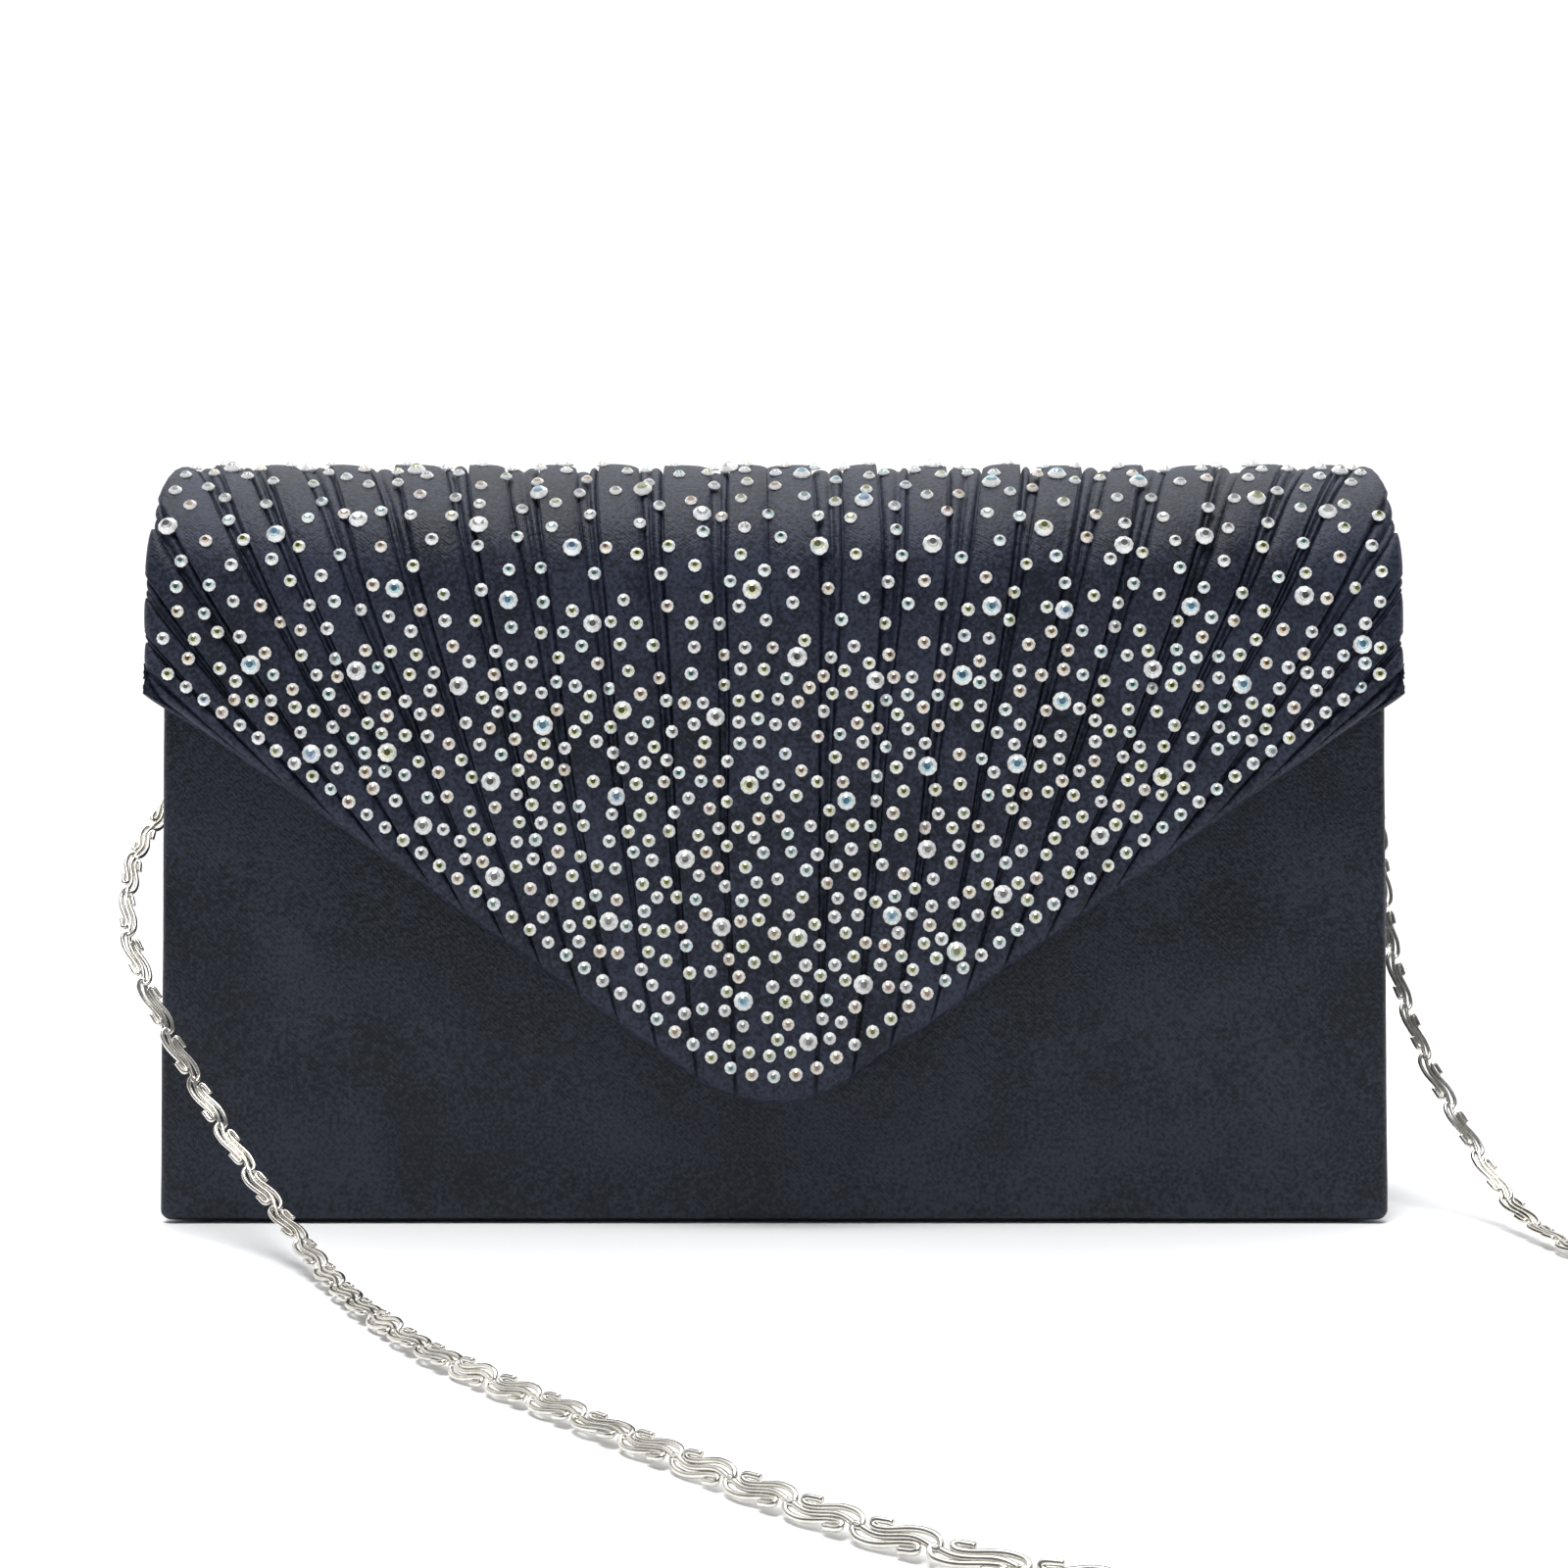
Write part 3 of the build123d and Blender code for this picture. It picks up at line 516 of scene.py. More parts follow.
def pleat_relief(columns, flat, inset, rows, kept, dice):
    """How far each flap point stands proud: full faces, a fine lip at each fold, and a groove beside it."""
    count = len(columns)
    lower = rows * count
    column = np.concatenate([np.arange(lower) % count, np.tile(kept, (len(flat) - lower) // len(kept))])
    face, groove = columns[column, 3], columns[column, 4]
    pleat = columns[column, 2].astype(int)
    tilt = dice.uniform(-0.22, 0.22, pleat.max() + 1)[pleat]
    full = dice.uniform(0.75, 1.25, pleat.max() + 1)[pleat]
    rib_one = dice.uniform(0.7, 1.3, pleat.max() + 1)
    rib_two = dice.uniform(0.3, 1.15, pleat.max() + 1)
    cut = dice.uniform(0.4, 0.68, pleat.max() + 1)[pleat] + 0.05 * ripple(flat, 33.0, 24)
    spread = np.clip((flat[:, 1] - 20) / 110, 0, 1)
    start = v_height(flat[:, 0] * 0.6, FLAP_HALF, 0.0)
    share = np.clip((flat[:, 1] - start) / (RUN_SPREAD - start), 0, 1)
    swell = 0.26 + 0.2 * spread
    arch = 1 - np.abs(2 * face - 1) ** 4
    lip = np.exp(-(((face - 0.97) / 0.035) ** 2))
    on_face = full * swell * arch + 0.2 * lip + (tilt + 0.28) * (face - 0.5) + 0.12
    opened = np.clip((share - 0.1) / 0.35, 0, 1)
    one = np.clip(1 - (2 * (groove - 0.05) / (cut - 0.05) - 1) ** 2, 0, 1) ** 0.6
    two = np.clip(1 - (2 * (groove - cut) / (0.97 - cut) - 1) ** 2, 0, 1) ** 0.6
    deep = -(0.8 + 0.3 * spread) * (1 - (rib_one[pleat] * one + rib_two[pleat] * two) * opened)
    height = np.where(face >= 0, on_face, deep)
    height = height + 0.1 * ripple(flat, 26.0, 21) + 0.05 * ripple(flat, 9.0, 22)
    height = height - 0.8 * np.clip((flat[:, 1] - 112) / 20, 0, 1)
    near = np.clip(inset / 3.0, 0, 1)
    return height * (0.45 + 0.55 * near * near * (3 - 2 * near))


def make_flap():
    dice = np.random.default_rng(PLEAT_SEED)
    columns = pleat_columns(dice)
    low, high = columns[:, 0], columns[:, 1]
    flat, quads, outline, kept = flap_grid(low, high, FLAP_HALF, 0.0, FLAP_ROLL, FLAP_ROWS, FLAP_ROWS_BACK)
    inset, _ = edge_distance(flat, outline)
    flat[:, 0] += 0.45 * ripple(flat, 48.0, 25) * np.clip(inset / 10, 0, 1)
    relief = pleat_relief(columns, flat, inset, FLAP_ROWS + 14, kept, dice)
    shell = rolled_shell("flap_cover_pleated", flat, quads, outline, flap_place, FLAP_SHELL, FLAP_ROLL,
                         FLAP_BACK_ROLL, relief)
    low, middle, high = (-16.0, -9.2, 14), (-PLEAT_SIDE, PLEAT_SIDE, 45), (9.2, 16.0, 14)
    marks = np.concatenate([np.linspace(*span) for span in (low, middle, high)])
    edge = FLAP_HALF / PITCH_LOW
    marks = np.concatenate([[-edge], marks, [edge]])
    half = FLAP_HALF - 2.0
    flat, quads, outline, _ = flap_grid(marks, marks, half, 2.4, 0.4, 24, 14)

    def inner(points, depth):
        return flap_place(points, FLAP_SHELL + FLAP_LINING - depth)

    puff = 0.08 * ripple(flat, 40.0, 23)
    lining = rolled_shell("flap_lining_cloth", flat, quads, outline, inner, FLAP_LINING, 0.4, 0.3, puff)
    return shell, lining


flap, flap_lining = make_flap()
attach(flap, "flap")
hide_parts("flap_cover", "flap_padding")
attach(flap_lining, "flap")
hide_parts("flap_lining")

# ---------------------------------------------------------------- crystals
STONE_FACETS = 10


def stone_shape():
    """A flat-backed cut stone of radius 1 and height 1: four rings of points and the facets between them."""
    rings = []
    for radius, height, offset in ((1.0, 0.0, 0.0), (1.0, 0.22, 0.0), (0.62, 0.76, 0.5), (0.36, 1.0, 0.0)):
        turn = (np.arange(STONE_FACETS) + offset) * 2 * math.pi / STONE_FACETS
        level = np.full(STONE_FACETS, height)
        rings.append(np.stack([radius * np.cos(turn), radius * np.sin(turn), level], 1))
    n = STONE_FACETS
    faces = [(tuple(range(n))[::-1], "back")]
    for j in range(n):
        k = (j + 1) % n
        faces.append(((j, k, n + k, n + j), "girdle"))
        faces.append(((n + j, n + k, 2 * n + j), "main"))
        faces.append(((n + k, 2 * n + k, 2 * n + j), "main"))
        faces.append(((2 * n + j, 2 * n + k, 3 * n + k), "star"))
        faces.append(((2 * n + j, 3 * n + k, 3 * n + j), "star"))
    faces.append((tuple(3 * n + j for j in range(n)), "table"))
    return np.vstack(rings), faces


def stone_places(node):
    """The centre of each glued stone of a CAD node, in metres."""
    work = bmesh.new()
    work.from_mesh(nodes[node].data)
    bmesh.ops.remove_doubles(work, verts=work.verts, dist=1e-6)
    seen, centres = set(), []
    for vert in work.verts:
        if vert in seen:
            continue
        island, stack = [], [vert]
        seen.add(vert)
        while stack:
            here = stack.pop()
            island.append(here.co.copy())
            for edge in here.link_edges:
                other = edge.other_vert(here)
                if other not in seen:
                    seen.add(other)
                    stack.append(other)
        centres.append(sum(island, Vector()) / len(island))
    work.free()
    return sorted(centres, key=lambda c: (round(c.x, 5), round(c.z, 5)))


def crystals(name, node, radius, height, tints, dice, tree):
    """Cut stones seated on the pleated satin where the CAD stones are.

    tints are (share, rim with a painted highlight, star facets, table with a painted dark reflection).
    """
    shape, cuts = stone_shape()
    points, faces, kinds = [], [], []
    bend, front = FLAP_BEND * MM, FRONT_CENTRE * MM
    for centre in stone_places(node):
        outward = Vector((0, -1, 0))
        if centre.z > bend:
            outward = Vector((0, centre.y - front, centre.z - bend)).normalized()
        hits = []
        level = outward.cross(Vector((1, 0, 0)))
        for a, b in ((0, 0), (1, 0), (-1, 0), (0, 1), (0, -1)):
            start = centre + outward * 0.006 + (Vector((a, 0, 0)) + level * b) * radius * 0.7 * MM
            spot, normal, _, _ = tree.ray_cast(start, -outward, 0.02)
            if spot is not None:
                hits.append(((spot - centre).dot(outward), normal))
        if not hits:
            continue
        seat = max(h for h, _ in hits)
        spot = centre + outward * (seat * 0.75 + 0.25 * sum(h for h, _ in hits) / len(hits))
        up = (outward * 2.0 + sum((n for _, n in hits), Vector()) / len(hits)).normalized()
        side = up.orthogonal().normalized()
        spin = dice.uniform(0, 2 * math.pi)
        x_way = side * math.cos(spin) + up.cross(side) * math.sin(spin)
        turn = np.array([x_way, up.cross(x_way), up])
        size = dice.uniform(0.95, 1.05)
        local = shape * (radius * size, radius * size, height)
        base = len(points)
        points += list(local @ turn + np.array(spot) / MM)
        pick = dice.choice(len(tints), p=[t[0] for t in tints])
        for face, kind in cuts:
            faces.append(tuple(i + base for i in face))
            kinds.append(pick * 3 + {"star": 1, "table": 2}.get(kind, 0))
    obj = add_mesh(name, points, faces, smooth=False)
    for _, rim, star, table in tints:
        for material in (rim, star, table):
            obj.data.materials.append(material)
    obj.data.polygons.foreach_set("material_index", kinds)
    return obj


# ---------------------------------------------------------------- materials
def material_parts(name):
    material = bpy.data.materials.new(name)
    material.use_nodes = True
    tree = material.node_tree
    return material, tree.nodes, tree.links, tree.nodes["Principled BSDF"]


def noise_node(n, links, coords, scale, detail=3.0):
    node = n.new("ShaderNodeTexNoise")
    node.inputs["Scale"].default_value = scale
    node.inputs["Detail"].default_value = detail
    links.new(coords, node.inputs["Vector"])
    return node


def ramp_node(n, links, value, stops):
    ramp = n.new("ShaderNodeValToRGB")
    ramp.color_ramp.elements[0].position = stops[0][0]
    ramp.color_ramp.elements[0].color = (*stops[0][1], 1)
    ramp.color_ramp.elements[1].position = stops[-1][0]
    ramp.color_ramp.elements[1].color = (*stops[-1][1], 1)
    for place, colour in stops[1:-1]:
        ramp.color_ramp.elements.new(place).color = (*colour, 1)
    links.new(value, ramp.inputs[0])
    return ramp.outputs[0]


def wave_node(n, links, coords, way, period):
    wave = n.new("ShaderNodeTexWave")
    wave.bands_direction = way
    wave.inputs["Scale"].default_value = math.pi / 10 / (period * MM)
    wave.inputs["Distortion"].default_value = 0.6
    links.new(coords, wave.inputs["Vector"])
    return wave.outputs["Fac"]


def bump_node(n, links, height, distance, strength, after=None):
    bump = n.new("ShaderNodeBump")
    bump.inputs["Distance"].default_value = distance * MM
    bump.inputs["Strength"].default_value = strength
    links.new(height, bump.inputs["Height"])
    if after:
        links.new(after, bump.inputs["Normal"])
    return bump.outputs["Normal"]


def cloth_material(name, colours, roughness, thread, depth, lump, sheen):
    """Woven cloth: fine crossed threads, soft lumps, and colour and gloss that vary a little."""
    material, n, links, shader = material_parts(name)
    coords = n.new("ShaderNodeTexCoord").outputs["Object"]
    patches = noise_node(n, links, coords, 55.0, 5.0).outputs["Fac"]
    slubs = noise_node(n, links, coords, 1500.0, 2.0).outputs["Fac"]
    mixed = n.new("ShaderNodeMath")
    mixed.operation = "MULTIPLY_ADD"
    mixed.inputs[1].default_value = 1.6
    links.new(slubs, mixed.inputs[0])
    links.new(patches, mixed.inputs[2])
    stops = [(0.54, colours[0]), (0.77, colours[1])]
    halved = n.new("ShaderNodeMath")
    halved.operation = "MULTIPLY"
    halved.inputs[1].default_value = 0.5
    links.new(mixed.outputs[0], halved.inputs[0])
    links.new(ramp_node(n, links, halved.outputs[0], stops), shader.inputs["Base Color"])
    shine = n.new("ShaderNodeMapRange")
    shine.inputs["To Min"].default_value = roughness - 0.06
    shine.inputs["To Max"].default_value = roughness + 0.08
    links.new(patches, shine.inputs["Value"])
    links.new(shine.outputs[0], shader.inputs["Roughness"])
    warp = wave_node(n, links, coords, "X", thread)
    weft = wave_node(n, links, coords, "DIAGONAL", thread * 1.4)
    weave = n.new("ShaderNodeMath")
    weave.operation = "ADD"
    links.new(warp, weave.inputs[0])
    links.new(weft, weave.inputs[1])
    soft = noise_node(n, links, coords, 240.0, 3.0).outputs["Fac"]
    normal = bump_node(n, links, soft, lump, 0.5)
    normal = bump_node(n, links, slubs, 0.2, 0.8, normal)
    normal = bump_node(n, links, weave.outputs[0], depth, 0.5, normal)
    links.new(normal, shader.inputs["Normal"])
    shader.inputs["Sheen Weight"].default_value = sheen
    shader.inputs["Sheen Roughness"].default_value = 0.35
    shader.inputs["Specular IOR Level"].default_value = 0.28
    shader.inputs["Sheen Tint"].default_value = (0.6, 0.7, 0.95, 1)
    return material


def metal_material(name, colours, roughness, grain):
    """Plated metal: faint wear in its colour and gloss, and a fine uneven surface."""
    material, n, links, shader = material_parts(name)
    coords = n.new("ShaderNodeTexCoord").outputs["Object"]
    wear = noise_node(n, links, coords, 420.0, 4.0).outputs["Fac"]
    links.new(ramp_node(n, links, wear, [(0.3, colours[0]), (0.7, colours[1])]), shader.inputs["Base Color"])
    shine = n.new("ShaderNodeMapRange")
    shine.inputs["To Min"].default_value = roughness
    shine.inputs["To Max"].default_value = roughness + 0.12
    links.new(wear, shine.inputs["Value"])
    links.new(shine.outputs[0], shader.inputs["Roughness"])
    fine = noise_node(n, links, coords, 1500.0, 2.0).outputs["Fac"]
    links.new(bump_node(n, links, fine, grain, 0.4), shader.inputs["Normal"])
    shader.inputs["Metallic"].default_value = 1.0
    return material


def crystal_material(name, colours, roughness, metallic):
    """Foiled cut glass: the thin coat's tint changes over the stone, and each facet mirrors the room."""
    material, n, links, shader = material_parts(name)
    coords = n.new("ShaderNodeTexCoord").outputs["Object"]
    coat = noise_node(n, links, coords, 700.0, 1.0).outputs["Fac"]
    stops = [(0.3, colours[0]), (0.5, colours[1]), (0.7, colours[2])]
    links.new(ramp_node(n, links, coat, stops), shader.inputs["Base Color"])
    shader.inputs["Metallic"].default_value = metallic
    shader.inputs["Roughness"].default_value = roughness
    shader.inputs["Coat Weight"].default_value = 0.6
    shader.inputs["Coat Roughness"].default_value = 0.03
    return material


def board_material():
    """Bonded fibreboard: pale brown with short fibres."""
    material, n, links, shader = material_parts("fibreboard")
    coords = n.new("ShaderNodeTexCoord").outputs["Object"]
    fibres = noise_node(n, links, coords, 600.0, 6.0).outputs["Fac"]
    stops = [(0.3, (0.26, 0.2, 0.13)), (0.7, (0.42, 0.35, 0.25))]
    links.new(ramp_node(n, links, fibres, stops), shader.inputs["Base Color"])
    links.new(bump_node(n, links, fibres, 0.15, 0.5), shader.inputs["Normal"])
    shader.inputs["Roughness"].default_value = 0.85
    return material


satin = cloth_material(
    "satin",
    [(0.003, 0.005, 0.009), (0.02, 0.025, 0.04)],
    0.48, 0.3, 0.03, 0.12, 0.03,
)
pleated = cloth_material(
    "pleated_satin",
    [(0.002, 0.004, 0.01), (0.024, 0.03, 0.054)],
    0.52, 0.3, 0.03, 0.16, 0.03,
)
lining_cloth = cloth_material(
    "lining",
    [(0.006, 0.007, 0.011), (0.02, 0.022, 0.03)],
    0.6, 0.45, 0.06, 0.1, 0.03,
)
nickel = metal_material("nickel", [(0.6, 0.57, 0.51), (0.8, 0.77, 0.71)], 0.2, 0.02)
snap_metal = metal_material("snap_metal", [(0.5, 0.5, 0.51), (0.62, 0.62, 0.64)], 0.3, 0.04)
fibreboard = board_material()

# The rim facets' near-white base colours are a painted highlight: they stand in for the glints off each
# stone's girdle and main facets.
RIM_HIGHLIGHT = crystal_material(
    "crystal_rim_painted_highlight",
    [(0.78, 0.78, 0.74), (0.88, 0.88, 0.87), (0.76, 0.8, 0.82)], 0.24, 0.15,
)
RIM_WARM_HIGHLIGHT = crystal_material(
    "crystal_rim_warm_painted_highlight",
    [(0.78, 0.75, 0.7), (0.86, 0.85, 0.8), (0.8, 0.74, 0.76)], 0.24, 0.15,
)
CLEAR = crystal_material(
    "crystal_clear",
    [(0.4, 0.41, 0.38), (0.6, 0.62, 0.62), (0.5, 0.46, 0.48)], 0.14, 0.4,
)
LIME = crystal_material(
    "crystal_lime",
    [(0.5, 0.52, 0.24), (0.6, 0.6, 0.36), (0.36, 0.52, 0.42)], 0.14, 0.4,
)
AMBER = crystal_material(
    "crystal_amber",
    [(0.62, 0.4, 0.22), (0.66, 0.56, 0.4), (0.46, 0.32, 0.3)], 0.14, 0.4,
)
AQUA = crystal_material(
    "crystal_aqua",
    [(0.26, 0.48, 0.5), (0.46, 0.64, 0.68), (0.36, 0.44, 0.58)], 0.14, 0.4,
)
# The table facets' dark base colours are a painted reflection: their darkness stands in for the dark that
# each stone's centre mirrors, while the olive, blue and grey hues are the coat's tint.
TABLE_OLIVE_REFLECTION = crystal_material(
    "table_olive_painted_reflection",
    [(0.05, 0.05, 0.02), (0.1, 0.11, 0.05), (0.16, 0.13, 0.08)], 0.1, 0.3,
)
TABLE_BLUE_REFLECTION = crystal_material(
    "table_blue_painted_reflection",
    [(0.06, 0.12, 0.17), (0.16, 0.26, 0.34), (0.12, 0.14, 0.22)], 0.1, 0.3,
)
TABLE_GREY_REFLECTION = crystal_material(
    "table_grey_painted_reflection",
    [(0.06, 0.06, 0.06), (0.16, 0.15, 0.14), (0.12, 0.1, 0.1)], 0.1, 0.3,
)

# Each tint pairs a rim with a painted highlight and a table with a painted dark reflection with star facets
# in the coat's tint.
SMALL_TINTS = [
    (0.3, RIM_HIGHLIGHT, CLEAR, TABLE_GREY_REFLECTION),
    (0.33, RIM_HIGHLIGHT, LIME, TABLE_OLIVE_REFLECTION),
    (0.17, RIM_WARM_HIGHLIGHT, AMBER, TABLE_GREY_REFLECTION),
    (0.2, RIM_HIGHLIGHT, AQUA, TABLE_OLIVE_REFLECTION),
]
LARGE_TINTS = [
    (0.5, RIM_HIGHLIGHT, CLEAR, TABLE_GREY_REFLECTION),
    (0.35, RIM_HIGHLIGHT, AQUA, TABLE_BLUE_REFLECTION),
    (0.15, RIM_HIGHLIGHT, LIME, TABLE_OLIVE_REFLECTION),
]


def finish_with(obj, material):
    obj.data.materials.clear()
    obj.data.materials.append(material)


bpy.context.view_layer.update()
flap_tree = BVHTree.FromObject(flap, bpy.context.evaluated_depsgraph_get())
stone_dice = np.random.default_rng(12)
small_stones = crystals("crystals_small", "rhinestones_small", 1.1, 0.88, SMALL_TINTS, stone_dice, flap_tree)
large_stones = crystals("crystals_large", "rhinestones_large", 1.62, 1.3, LARGE_TINTS, stone_dice, flap_tree)
for stones, node in ((small_stones, "rhinestones_small"), (large_stones, "rhinestones_large")):
    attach(stones, "flap")
    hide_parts(node)

# ---------------------------------------------------------------- panels, base and their linings
PANEL_HALF = 105.0
PANEL_HEIGHT = 106.0
FRONT_PLANE = ((0, -25.0, 0.5), math.atan(2.5 / 106), 1)
BACK_PLANE = ((0, 25.0, 0.0), math.atan(3.0 / 106), -1)
COVERED_BOARD = 2.86
LINING = 0.6


def panel_place(plane, start, inward):
    """Places flat points on a leaning panel. inward is 1 from the outside in and -1 the other way."""
    origin, lean, side = plane

    def place(flat, depth):
        depth = start + inward * np.broadcast_to(depth, len(flat))
        up = flat[:, 1]
        y = origin[1] + side * (up * math.sin(lean) + depth * math.cos(lean))
        z = origin[2] + up * math.cos(lean) - depth * math.sin(lean)
        return np.stack([flat[:, 0], y, z], 1)

    return place


def covered_panel(name, plane, seed):
    """A satin-covered board: full, softly rolled edges and a faintly uneven face."""
    flat, quads, outline = rounded_panel((-PANEL_HALF, PANEL_HALF), (0, PANEL_HEIGHT), 1.8, 1.7, (44, 26))
    relief = 0.07 * ripple(flat, 30.0, seed) + 0.03 * ripple(flat, 8.0, seed + 1)
    place = panel_place(plane, 0.0, 1)
    return rolled_shell(name, flat, quads, outline, place, COVERED_BOARD, 1.7, 0.4, relief)


def panel_lining(name, plane, seed):
    flat, quads, outline = rounded_panel((-103, 103), (2.4, 103.8), 2.0, 0.35, (40, 24))
    relief = 0.1 * ripple(flat, 36.0, seed) - 0.1
    place = panel_place(plane, COVERED_BOARD + LINING, -1)
    return rolled_shell(name, flat, quads, outline, place, LINING, 0.35, 0.25, relief)


front_cover = covered_panel("front_panel_satin", FRONT_PLANE, 31)
back_cover = covered_panel("back_panel_satin", BACK_PLANE, 33)
front_lining = panel_lining("front_lining_cloth", FRONT_PLANE, 35)
back_lining = panel_lining("back_lining_cloth", BACK_PLANE, 37)


def floor_place(flat, depth):
    return np.column_stack([flat, np.broadcast_to(depth, len(flat))])


def lining_place(flat, depth):
    return np.column_stack([flat, 3.4 - np.broadcast_to(depth, len(flat))])


flat, quads, outline = rounded_panel((-104.8, 104.8), (-21.25, 21.85), 2.0, 1.6, (40, 14))
base_cover = rolled_shell("base_satin", flat, quads, outline, floor_place, 2.8, 1.6, 0.5)
flat, quads, outline = rounded_panel((-103.8, 103.8), (-20.75, 21.35), 1.5, 0.3, (40, 14))
base_lining = rolled_shell("base_lining_cloth", flat, quads, outline, lining_place, LINING, 0.3, 0.25,
                           0.12 * ripple(flat, 30.0, 39) - 0.12)

for piece, node, body, slot, size in (
        (front_cover, "front_cover", "front_panel", "satin", (0.21, 0.106)),
        (back_cover, "back_cover", "root", "satin", (0.21, 0.106)),
        (base_cover, "base_cover", "root", "satin", (0.2096, 0.0431)),
        (front_lining, "front_lining", "front_panel", "lining", (0.206, 0.1014)),
        (back_lining, "back_lining", "root", "lining", (0.206, 0.1014)),
        (base_lining, "base_lining", "root", "lining", (0.2076, 0.0421))):
    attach(piece, body)
    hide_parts(node)

# ---------------------------------------------------------------- gussets
GUSSET_X = 104.5
GUSSET_FOOT = 3.6
GUSSET_TOP = 104.0
CREASE_FOOT = 2.0
CREASE_TOP = 16.0
GUSSET_CLOTH = 0.9


def gusset_wall(name, side, depth, thick, seed):
    """A V-folded side wall with a soft crease, wings that bow a little, and loose waves near the mouth."""
    across, up = np.meshgrid(np.linspace(-1, 1, 41), np.linspace(0, 1, 36))
    across, up = across.ravel(), up.ravel()
    height = GUSSET_FOOT + (GUSSET_TOP - GUSSET_FOOT) * up
    front = -21.15 + 2.5 * height / PANEL_HEIGHT
    back = 21.4 - 3.0 * height / PANEL_HEIGHT
    y = np.where(across < 0, -across * front, across * back)
    fold = CREASE_FOOT + (CREASE_TOP - CREASE_FOOT) * up
    reach = np.sqrt(across**2 + 0.05**2) - 0.05
    bow = np.sin(math.pi * np.abs(across)) * (0.25 + 0.5 * up)
    wave = 0.25 * up * np.sin(math.pi * np.abs(across)) * ripple(np.stack([y, height], 1), 28.0, seed)
    x = GUSSET_X - fold * (1 - reach) + bow + wave - depth
    outer = np.stack([x, y, height], 1)
    inner = outer - (thick, 0, 0)
    points, faces = close_shell(outer, inner, grid_quads(36, 41))
    points[:, 0] *= side
    return add_mesh(name, points, faces)


for side, word in ((-1, "left"), (1, "right")):
    cloth = gusset_wall(f"gusset_cloth_{word}", side, 0.0, GUSSET_CLOTH, 41)
    inside = gusset_wall(f"gusset_lining_cloth_{word}", side, GUSSET_CLOTH, LINING, 41)
    for piece, node, slot in ((cloth, "gusset", "satin"), (inside, "gusset_lining", "lining")):
        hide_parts(f"{node}_{word}")
        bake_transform(piece)
    finish_with(cloth, satin)
    finish_with(inside, lining_cloth)

# ---------------------------------------------------------------- hinge strip, pocket and ring tabs
def strip_along(path, width, thick, rows):
    """Front and back points of a strip of cloth that follows a path in Y and Z, centred on X."""
    path = np.array(path, float)
    tangent = unit(np.gradient(path, axis=0))
    normal = np.stack([-tangent[:, 1], tangent[:, 0]], 1)
    x = np.linspace(-width / 2, width / 2, rows)
    front, back = [], []
    for p, n in zip(path, normal):
        for place in x:
            front.append((place, p[0] + n[0] * thick / 2, p[1] + n[1] * thick / 2))
            back.append((place, p[0] - n[0] * thick / 2, p[1] - n[1] * thick / 2))
    return np.array(front), np.array(back), grid_quads(len(path), rows)


def hinge_strip():
    line = [(22.62, 96.6), (22.5, 100.5), (22.42, 104.0), (22.55, 107.0), (22.25, 110.0), (20.9, 114.0)]
    line = smooth_line(line, 5)
    front, back, quads = strip_along(line, 200.0, 0.7, 61)
    return add_mesh("hinge_cloth", *close_shell(front, back, quads))


strip = hinge_strip()
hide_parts("hinge_strip")
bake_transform(strip)

POCKET_HALF = 62.0
POCKET_FOOT = 23.9
POCKET_HEIGHT = 60.0
POCKET_WALL = 0.5
POCKET_LIFT = 1.1


def pocket_place(flat, depth):
    """Pocket cloth: flat against the lining at its seams, standing off it in the middle and at the mouth."""
    side = np.clip((POCKET_HALF - np.abs(flat[:, 0])) / 8, 0, 1)
    foot = np.clip((flat[:, 1] - POCKET_FOOT) / 8, 0, 1)
    lift = POCKET_LIFT * np.sin(side * math.pi / 2) * np.sin(foot * math.pi / 2)
    place = panel_place(BACK_PLANE, COVERED_BOARD + LINING + POCKET_WALL, -1)
    return place(flat, np.broadcast_to(depth, len(flat)) - lift)


pocket_up = (POCKET_FOOT, POCKET_FOOT + POCKET_HEIGHT)
flat, quads, outline = rounded_panel((-POCKET_HALF, POCKET_HALF), pocket_up, 1.5, 0.3, (36, 24))
pocket = rolled_shell("pocket_cloth", flat, quads, outline, pocket_place, POCKET_WALL, 0.25, 0.25)
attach(pocket, "root")
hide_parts("inner_pocket")

THREAD = 0.16
THREAD_PROUD = 0.02
STITCH = 1.9
STITCH_GAP = 0.7


def stitch_row(path):
    """Short thread stitches along a line of points, each dipping into the cloth at its ends."""
    path = np.array(path, float)
    run = np.concatenate([[0], np.cumsum(np.linalg.norm(np.diff(path, axis=0), axis=1))])
    parts = []
    for start in np.arange(0, run[-1] - STITCH, STITCH + STITCH_GAP):
        at = start + STITCH * np.array([0, 0.2, 0.5, 0.8, 1])
        line = np.stack([np.interp(at, run, path[:, k]) for k in range(3)], 1)
        parts.append(tube(line, THREAD * np.array([0.5, 1, 1.1, 1, 0.5]), 6))
    return joined(parts)


def pocket_seams():
    """Top-stitching down both sides of the pocket and along its foot, and a row under its hem."""
    side, foot, top = POCKET_HALF - 1.6, POCKET_FOOT + 1.6, POCKET_FOOT + POCKET_HEIGHT
    seam = [(-side, v) for v in np.linspace(top - 1, foot, 30)]
    seam += [(u, foot) for u in np.linspace(-side, side, 60)]
    seam += [(side, v) for v in np.linspace(foot, top - 1, 30)]
    hem = [(u, top - 6.0) for u in np.linspace(-side - 0.6, side + 0.6, 60)]
    rows = [stitch_row(pocket_place(np.array(line), -THREAD_PROUD)) for line in (seam, hem)]
    return joined(rows)


seams = add_mesh("pocket_stitches", *pocket_seams())
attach(seams, "root")

BAR_X = 98.5
BAR_Z = 97.0
TAB_WIDTH = 6.4
TAB_TAPE = 0.75


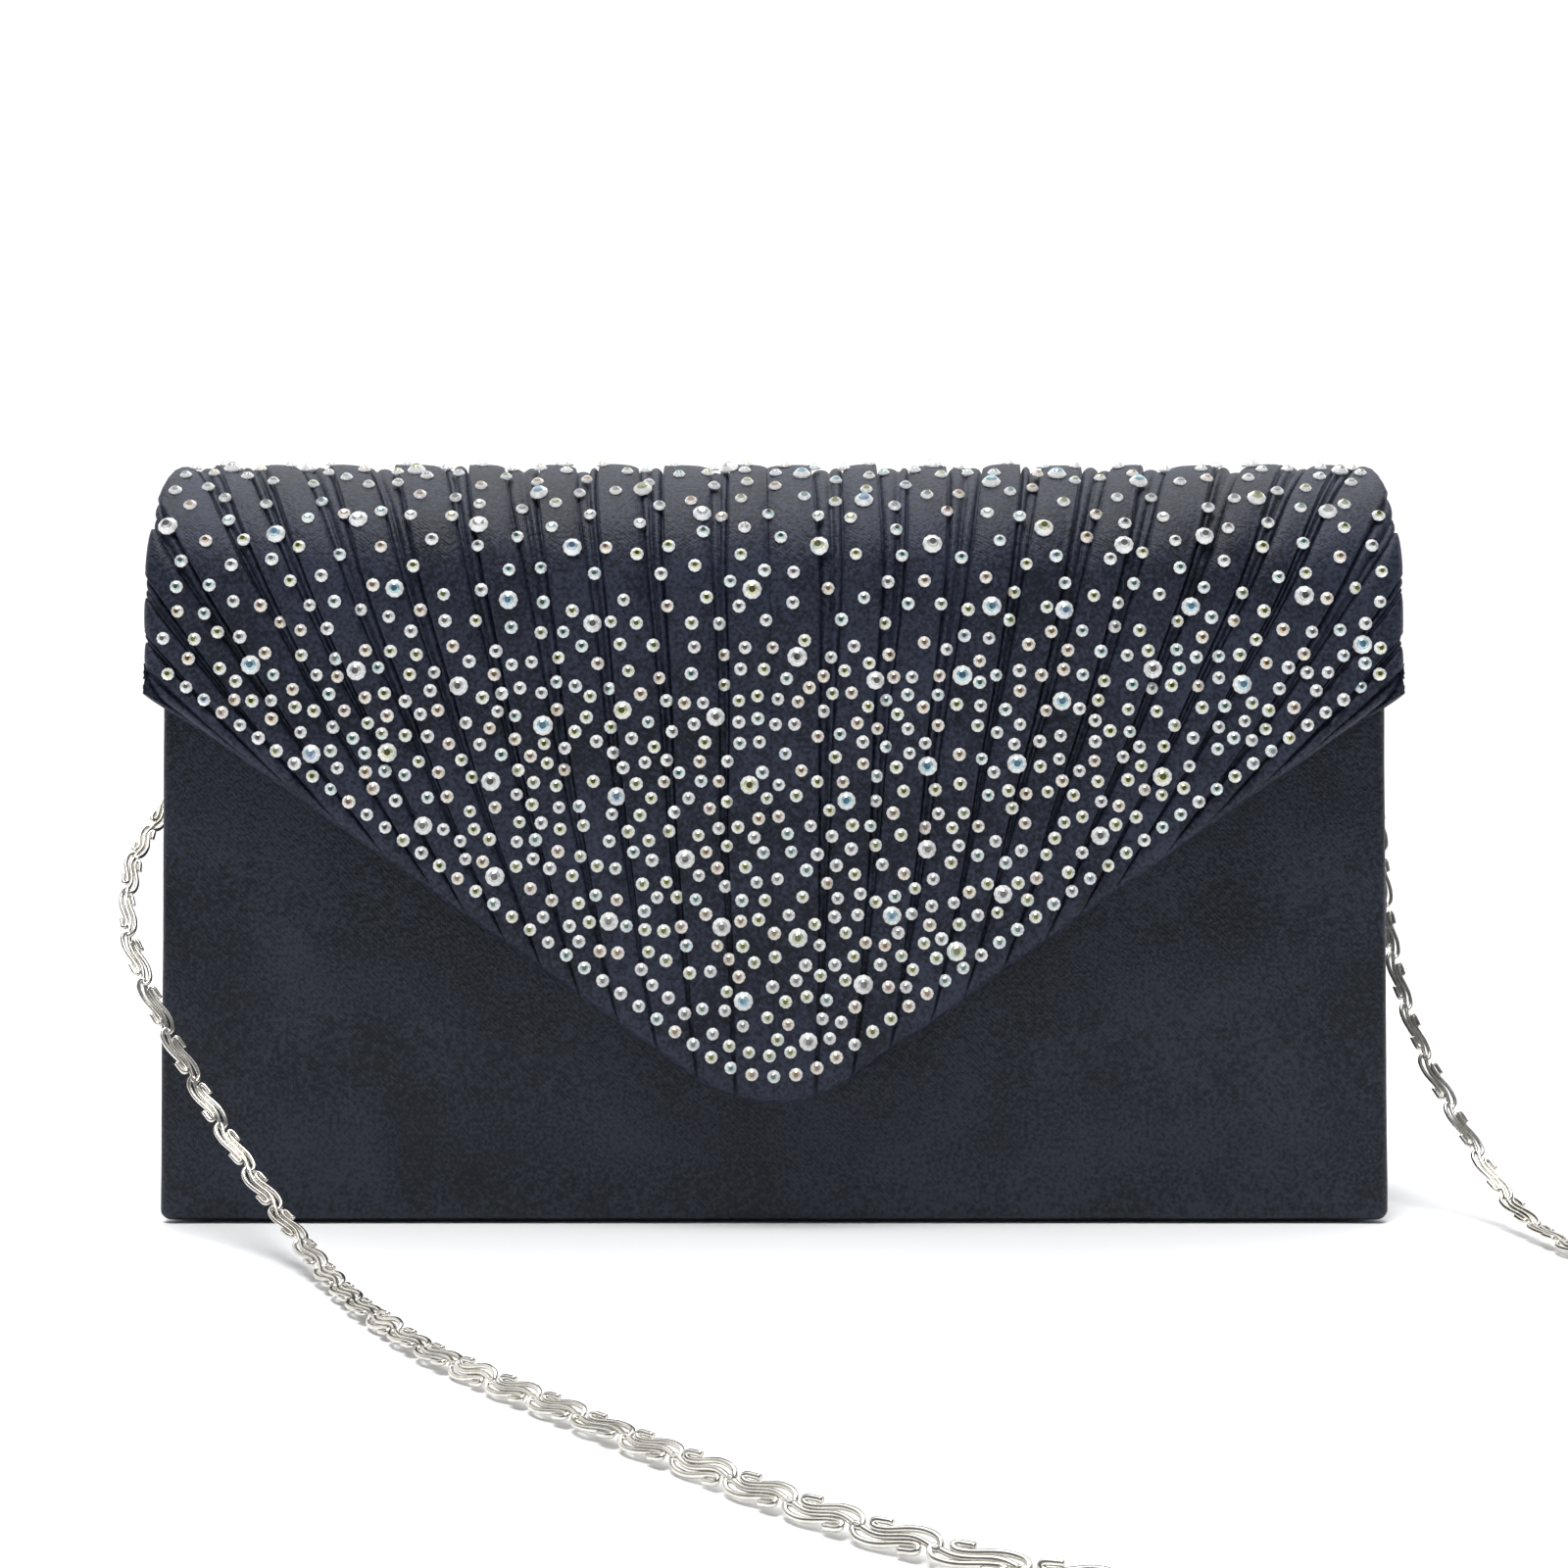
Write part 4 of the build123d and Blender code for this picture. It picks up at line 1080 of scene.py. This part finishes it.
def ring_tab(side):
    """A folded satin tape that wraps the strap ring's bar and runs in through the gusset's crease."""
    turn = np.radians(np.linspace(118, -118, 17))
    loop = [(BAR_X + 1.42 * math.cos(a), BAR_Z + 1.42 * math.sin(a)) for a in turn]
    line = [(90.5, BAR_Z + 0.4), (93.2, BAR_Z + 0.42), (95.6, BAR_Z + 0.62), (96.9, BAR_Z + 0.95)]
    path = smooth_line(line + loop + [(x, 2 * BAR_Z - z) for x, z in line[::-1]], 2)
    tangent = unit(np.gradient(path, axis=0))
    normal = np.stack([-tangent[:, 1], tangent[:, 0]], 1)
    across = np.linspace(-1, 1, 11)
    front, back = [], []
    for p, n in zip(path, normal):
        for a in across:
            half = TAB_TAPE / 2 * (1 - 0.55 * a**6)
            y = a * TAB_WIDTH / 2
            front.append((side * (p[0] + n[0] * half), y, p[1] + n[1] * half))
            back.append((side * (p[0] - n[0] * half), y, p[1] - n[1] * half))
    cloth = close_shell(np.array(front), np.array(back), grid_quads(len(path), len(across)))
    rows = []
    for y in (-2.3, 2.3):
        rows.append(stitch_row([(side * x, y, BAR_Z + 0.82) for x in np.linspace(90.8, 95.6, 9)]))
    rows.append(stitch_row([(side * 95.4, y, BAR_Z + 0.98) for y in np.linspace(-2.3, 2.3, 9)]))
    return cloth, joined(rows)


for side, word in ((-1, "left"), (1, "right")):
    cloth, thread = ring_tab(side)
    tab = add_mesh(f"ring_tab_tape_{word}", *cloth)
    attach(tab, "root")
    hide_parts(f"ring_tab_{word}")
    finish_with(tab, satin)
    sewn = add_mesh(f"ring_tab_stitches_{word}", *thread)
    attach(sewn, "root")
    finish_with(sewn, satin)

# ---------------------------------------------------------------- finishes
for piece, material in (
    (chain, nickel),
    (flap, pleated),
    (flap_lining, lining_cloth),
    (front_cover, satin),
    (back_cover, satin),
    (base_cover, satin),
    (front_lining, lining_cloth),
    (back_lining, lining_cloth),
    (base_lining, lining_cloth),
    (strip, satin),
    (pocket, lining_cloth),
    (seams, lining_cloth),
):
    finish_with(piece, material)

for name, material in (
    ("board", fibreboard),
    ("d_ring", nickel),
    ("clasp", nickel),
    ("jump_ring", nickel),
    ("snap", snap_metal),
):
    for node in nodes:
        if name in node and not nodes[node].hide_render:
            for slot in nodes[node].material_slots:
                slot.material = material

# ---------------------------------------------------------------- floor, room and lights
def make_floor():
    """A plain white floor that falls away out of sight."""
    size = 6000.0
    corners = [(-size, -size, -0.05), (size, -size, -0.05), (size, size, -0.05), (-size, size, -0.05)]
    floor = add_mesh("floor", corners, [(0, 1, 2, 3)])
    material, _, _, shader = material_parts("floor_white")
    shader.inputs["Base Color"].default_value = (0.93, 0.93, 0.93, 1)
    shader.inputs["Roughness"].default_value = 0.9
    floor.data.materials.append(material)


def make_room():
    """A white room that is brightest behind and above the bag and dimmer on the camera's side."""
    world = bpy.data.worlds.new("room")
    world.use_nodes = True
    bpy.context.scene.world = world
    n, links = world.node_tree.nodes, world.node_tree.links
    way = n.new("ShaderNodeTexCoord").outputs["Generated"]
    parts = n.new("ShaderNodeSeparateXYZ")
    links.new(way, parts.inputs[0])
    stops = [(0.0, (0.12, 0.13, 0.15)), (0.14, (0.4, 0.42, 0.46)), (0.42, (1.1, 1.1, 1.1))]
    shade = ramp_node(n, links, parts.outputs["Y"], stops)
    links.new(shade, n["Background"].inputs["Color"])
    n["Background"].inputs["Strength"].default_value = 1.0


def area_light(name, place, aim, size, power, colour=(1, 1, 1)):
    data = bpy.data.lights.new(name, "AREA")
    data.shape = "RECTANGLE"
    data.size, data.size_y = size
    data.energy = power
    data.color = colour
    light = bpy.data.objects.new(name, data)
    light.location = place
    light.rotation_euler = (Vector(aim) - Vector(place)).to_track_quat("-Z", "Y").to_euler()
    bpy.context.scene.collection.objects.link(light)


def sun_light(name, away, strength, spread):
    data = bpy.data.lights.new(name, "SUN")
    data.energy = strength
    data.angle = math.radians(spread)
    light = bpy.data.objects.new(name, data)
    light.rotation_euler = (-Vector(away)).to_track_quat("-Z", "Y").to_euler()
    bpy.context.scene.collection.objects.link(light)


bpy.context.scene.view_settings.view_transform = "Standard"
make_floor()
make_room()
sun_light("key_sun", (-0.22, -0.6, 1.9), 2.6, 26.0)
area_light("top_light", (0, 0.25, 1.2), (0, 0, 0.1), (1.6, 1.0), 10.0)
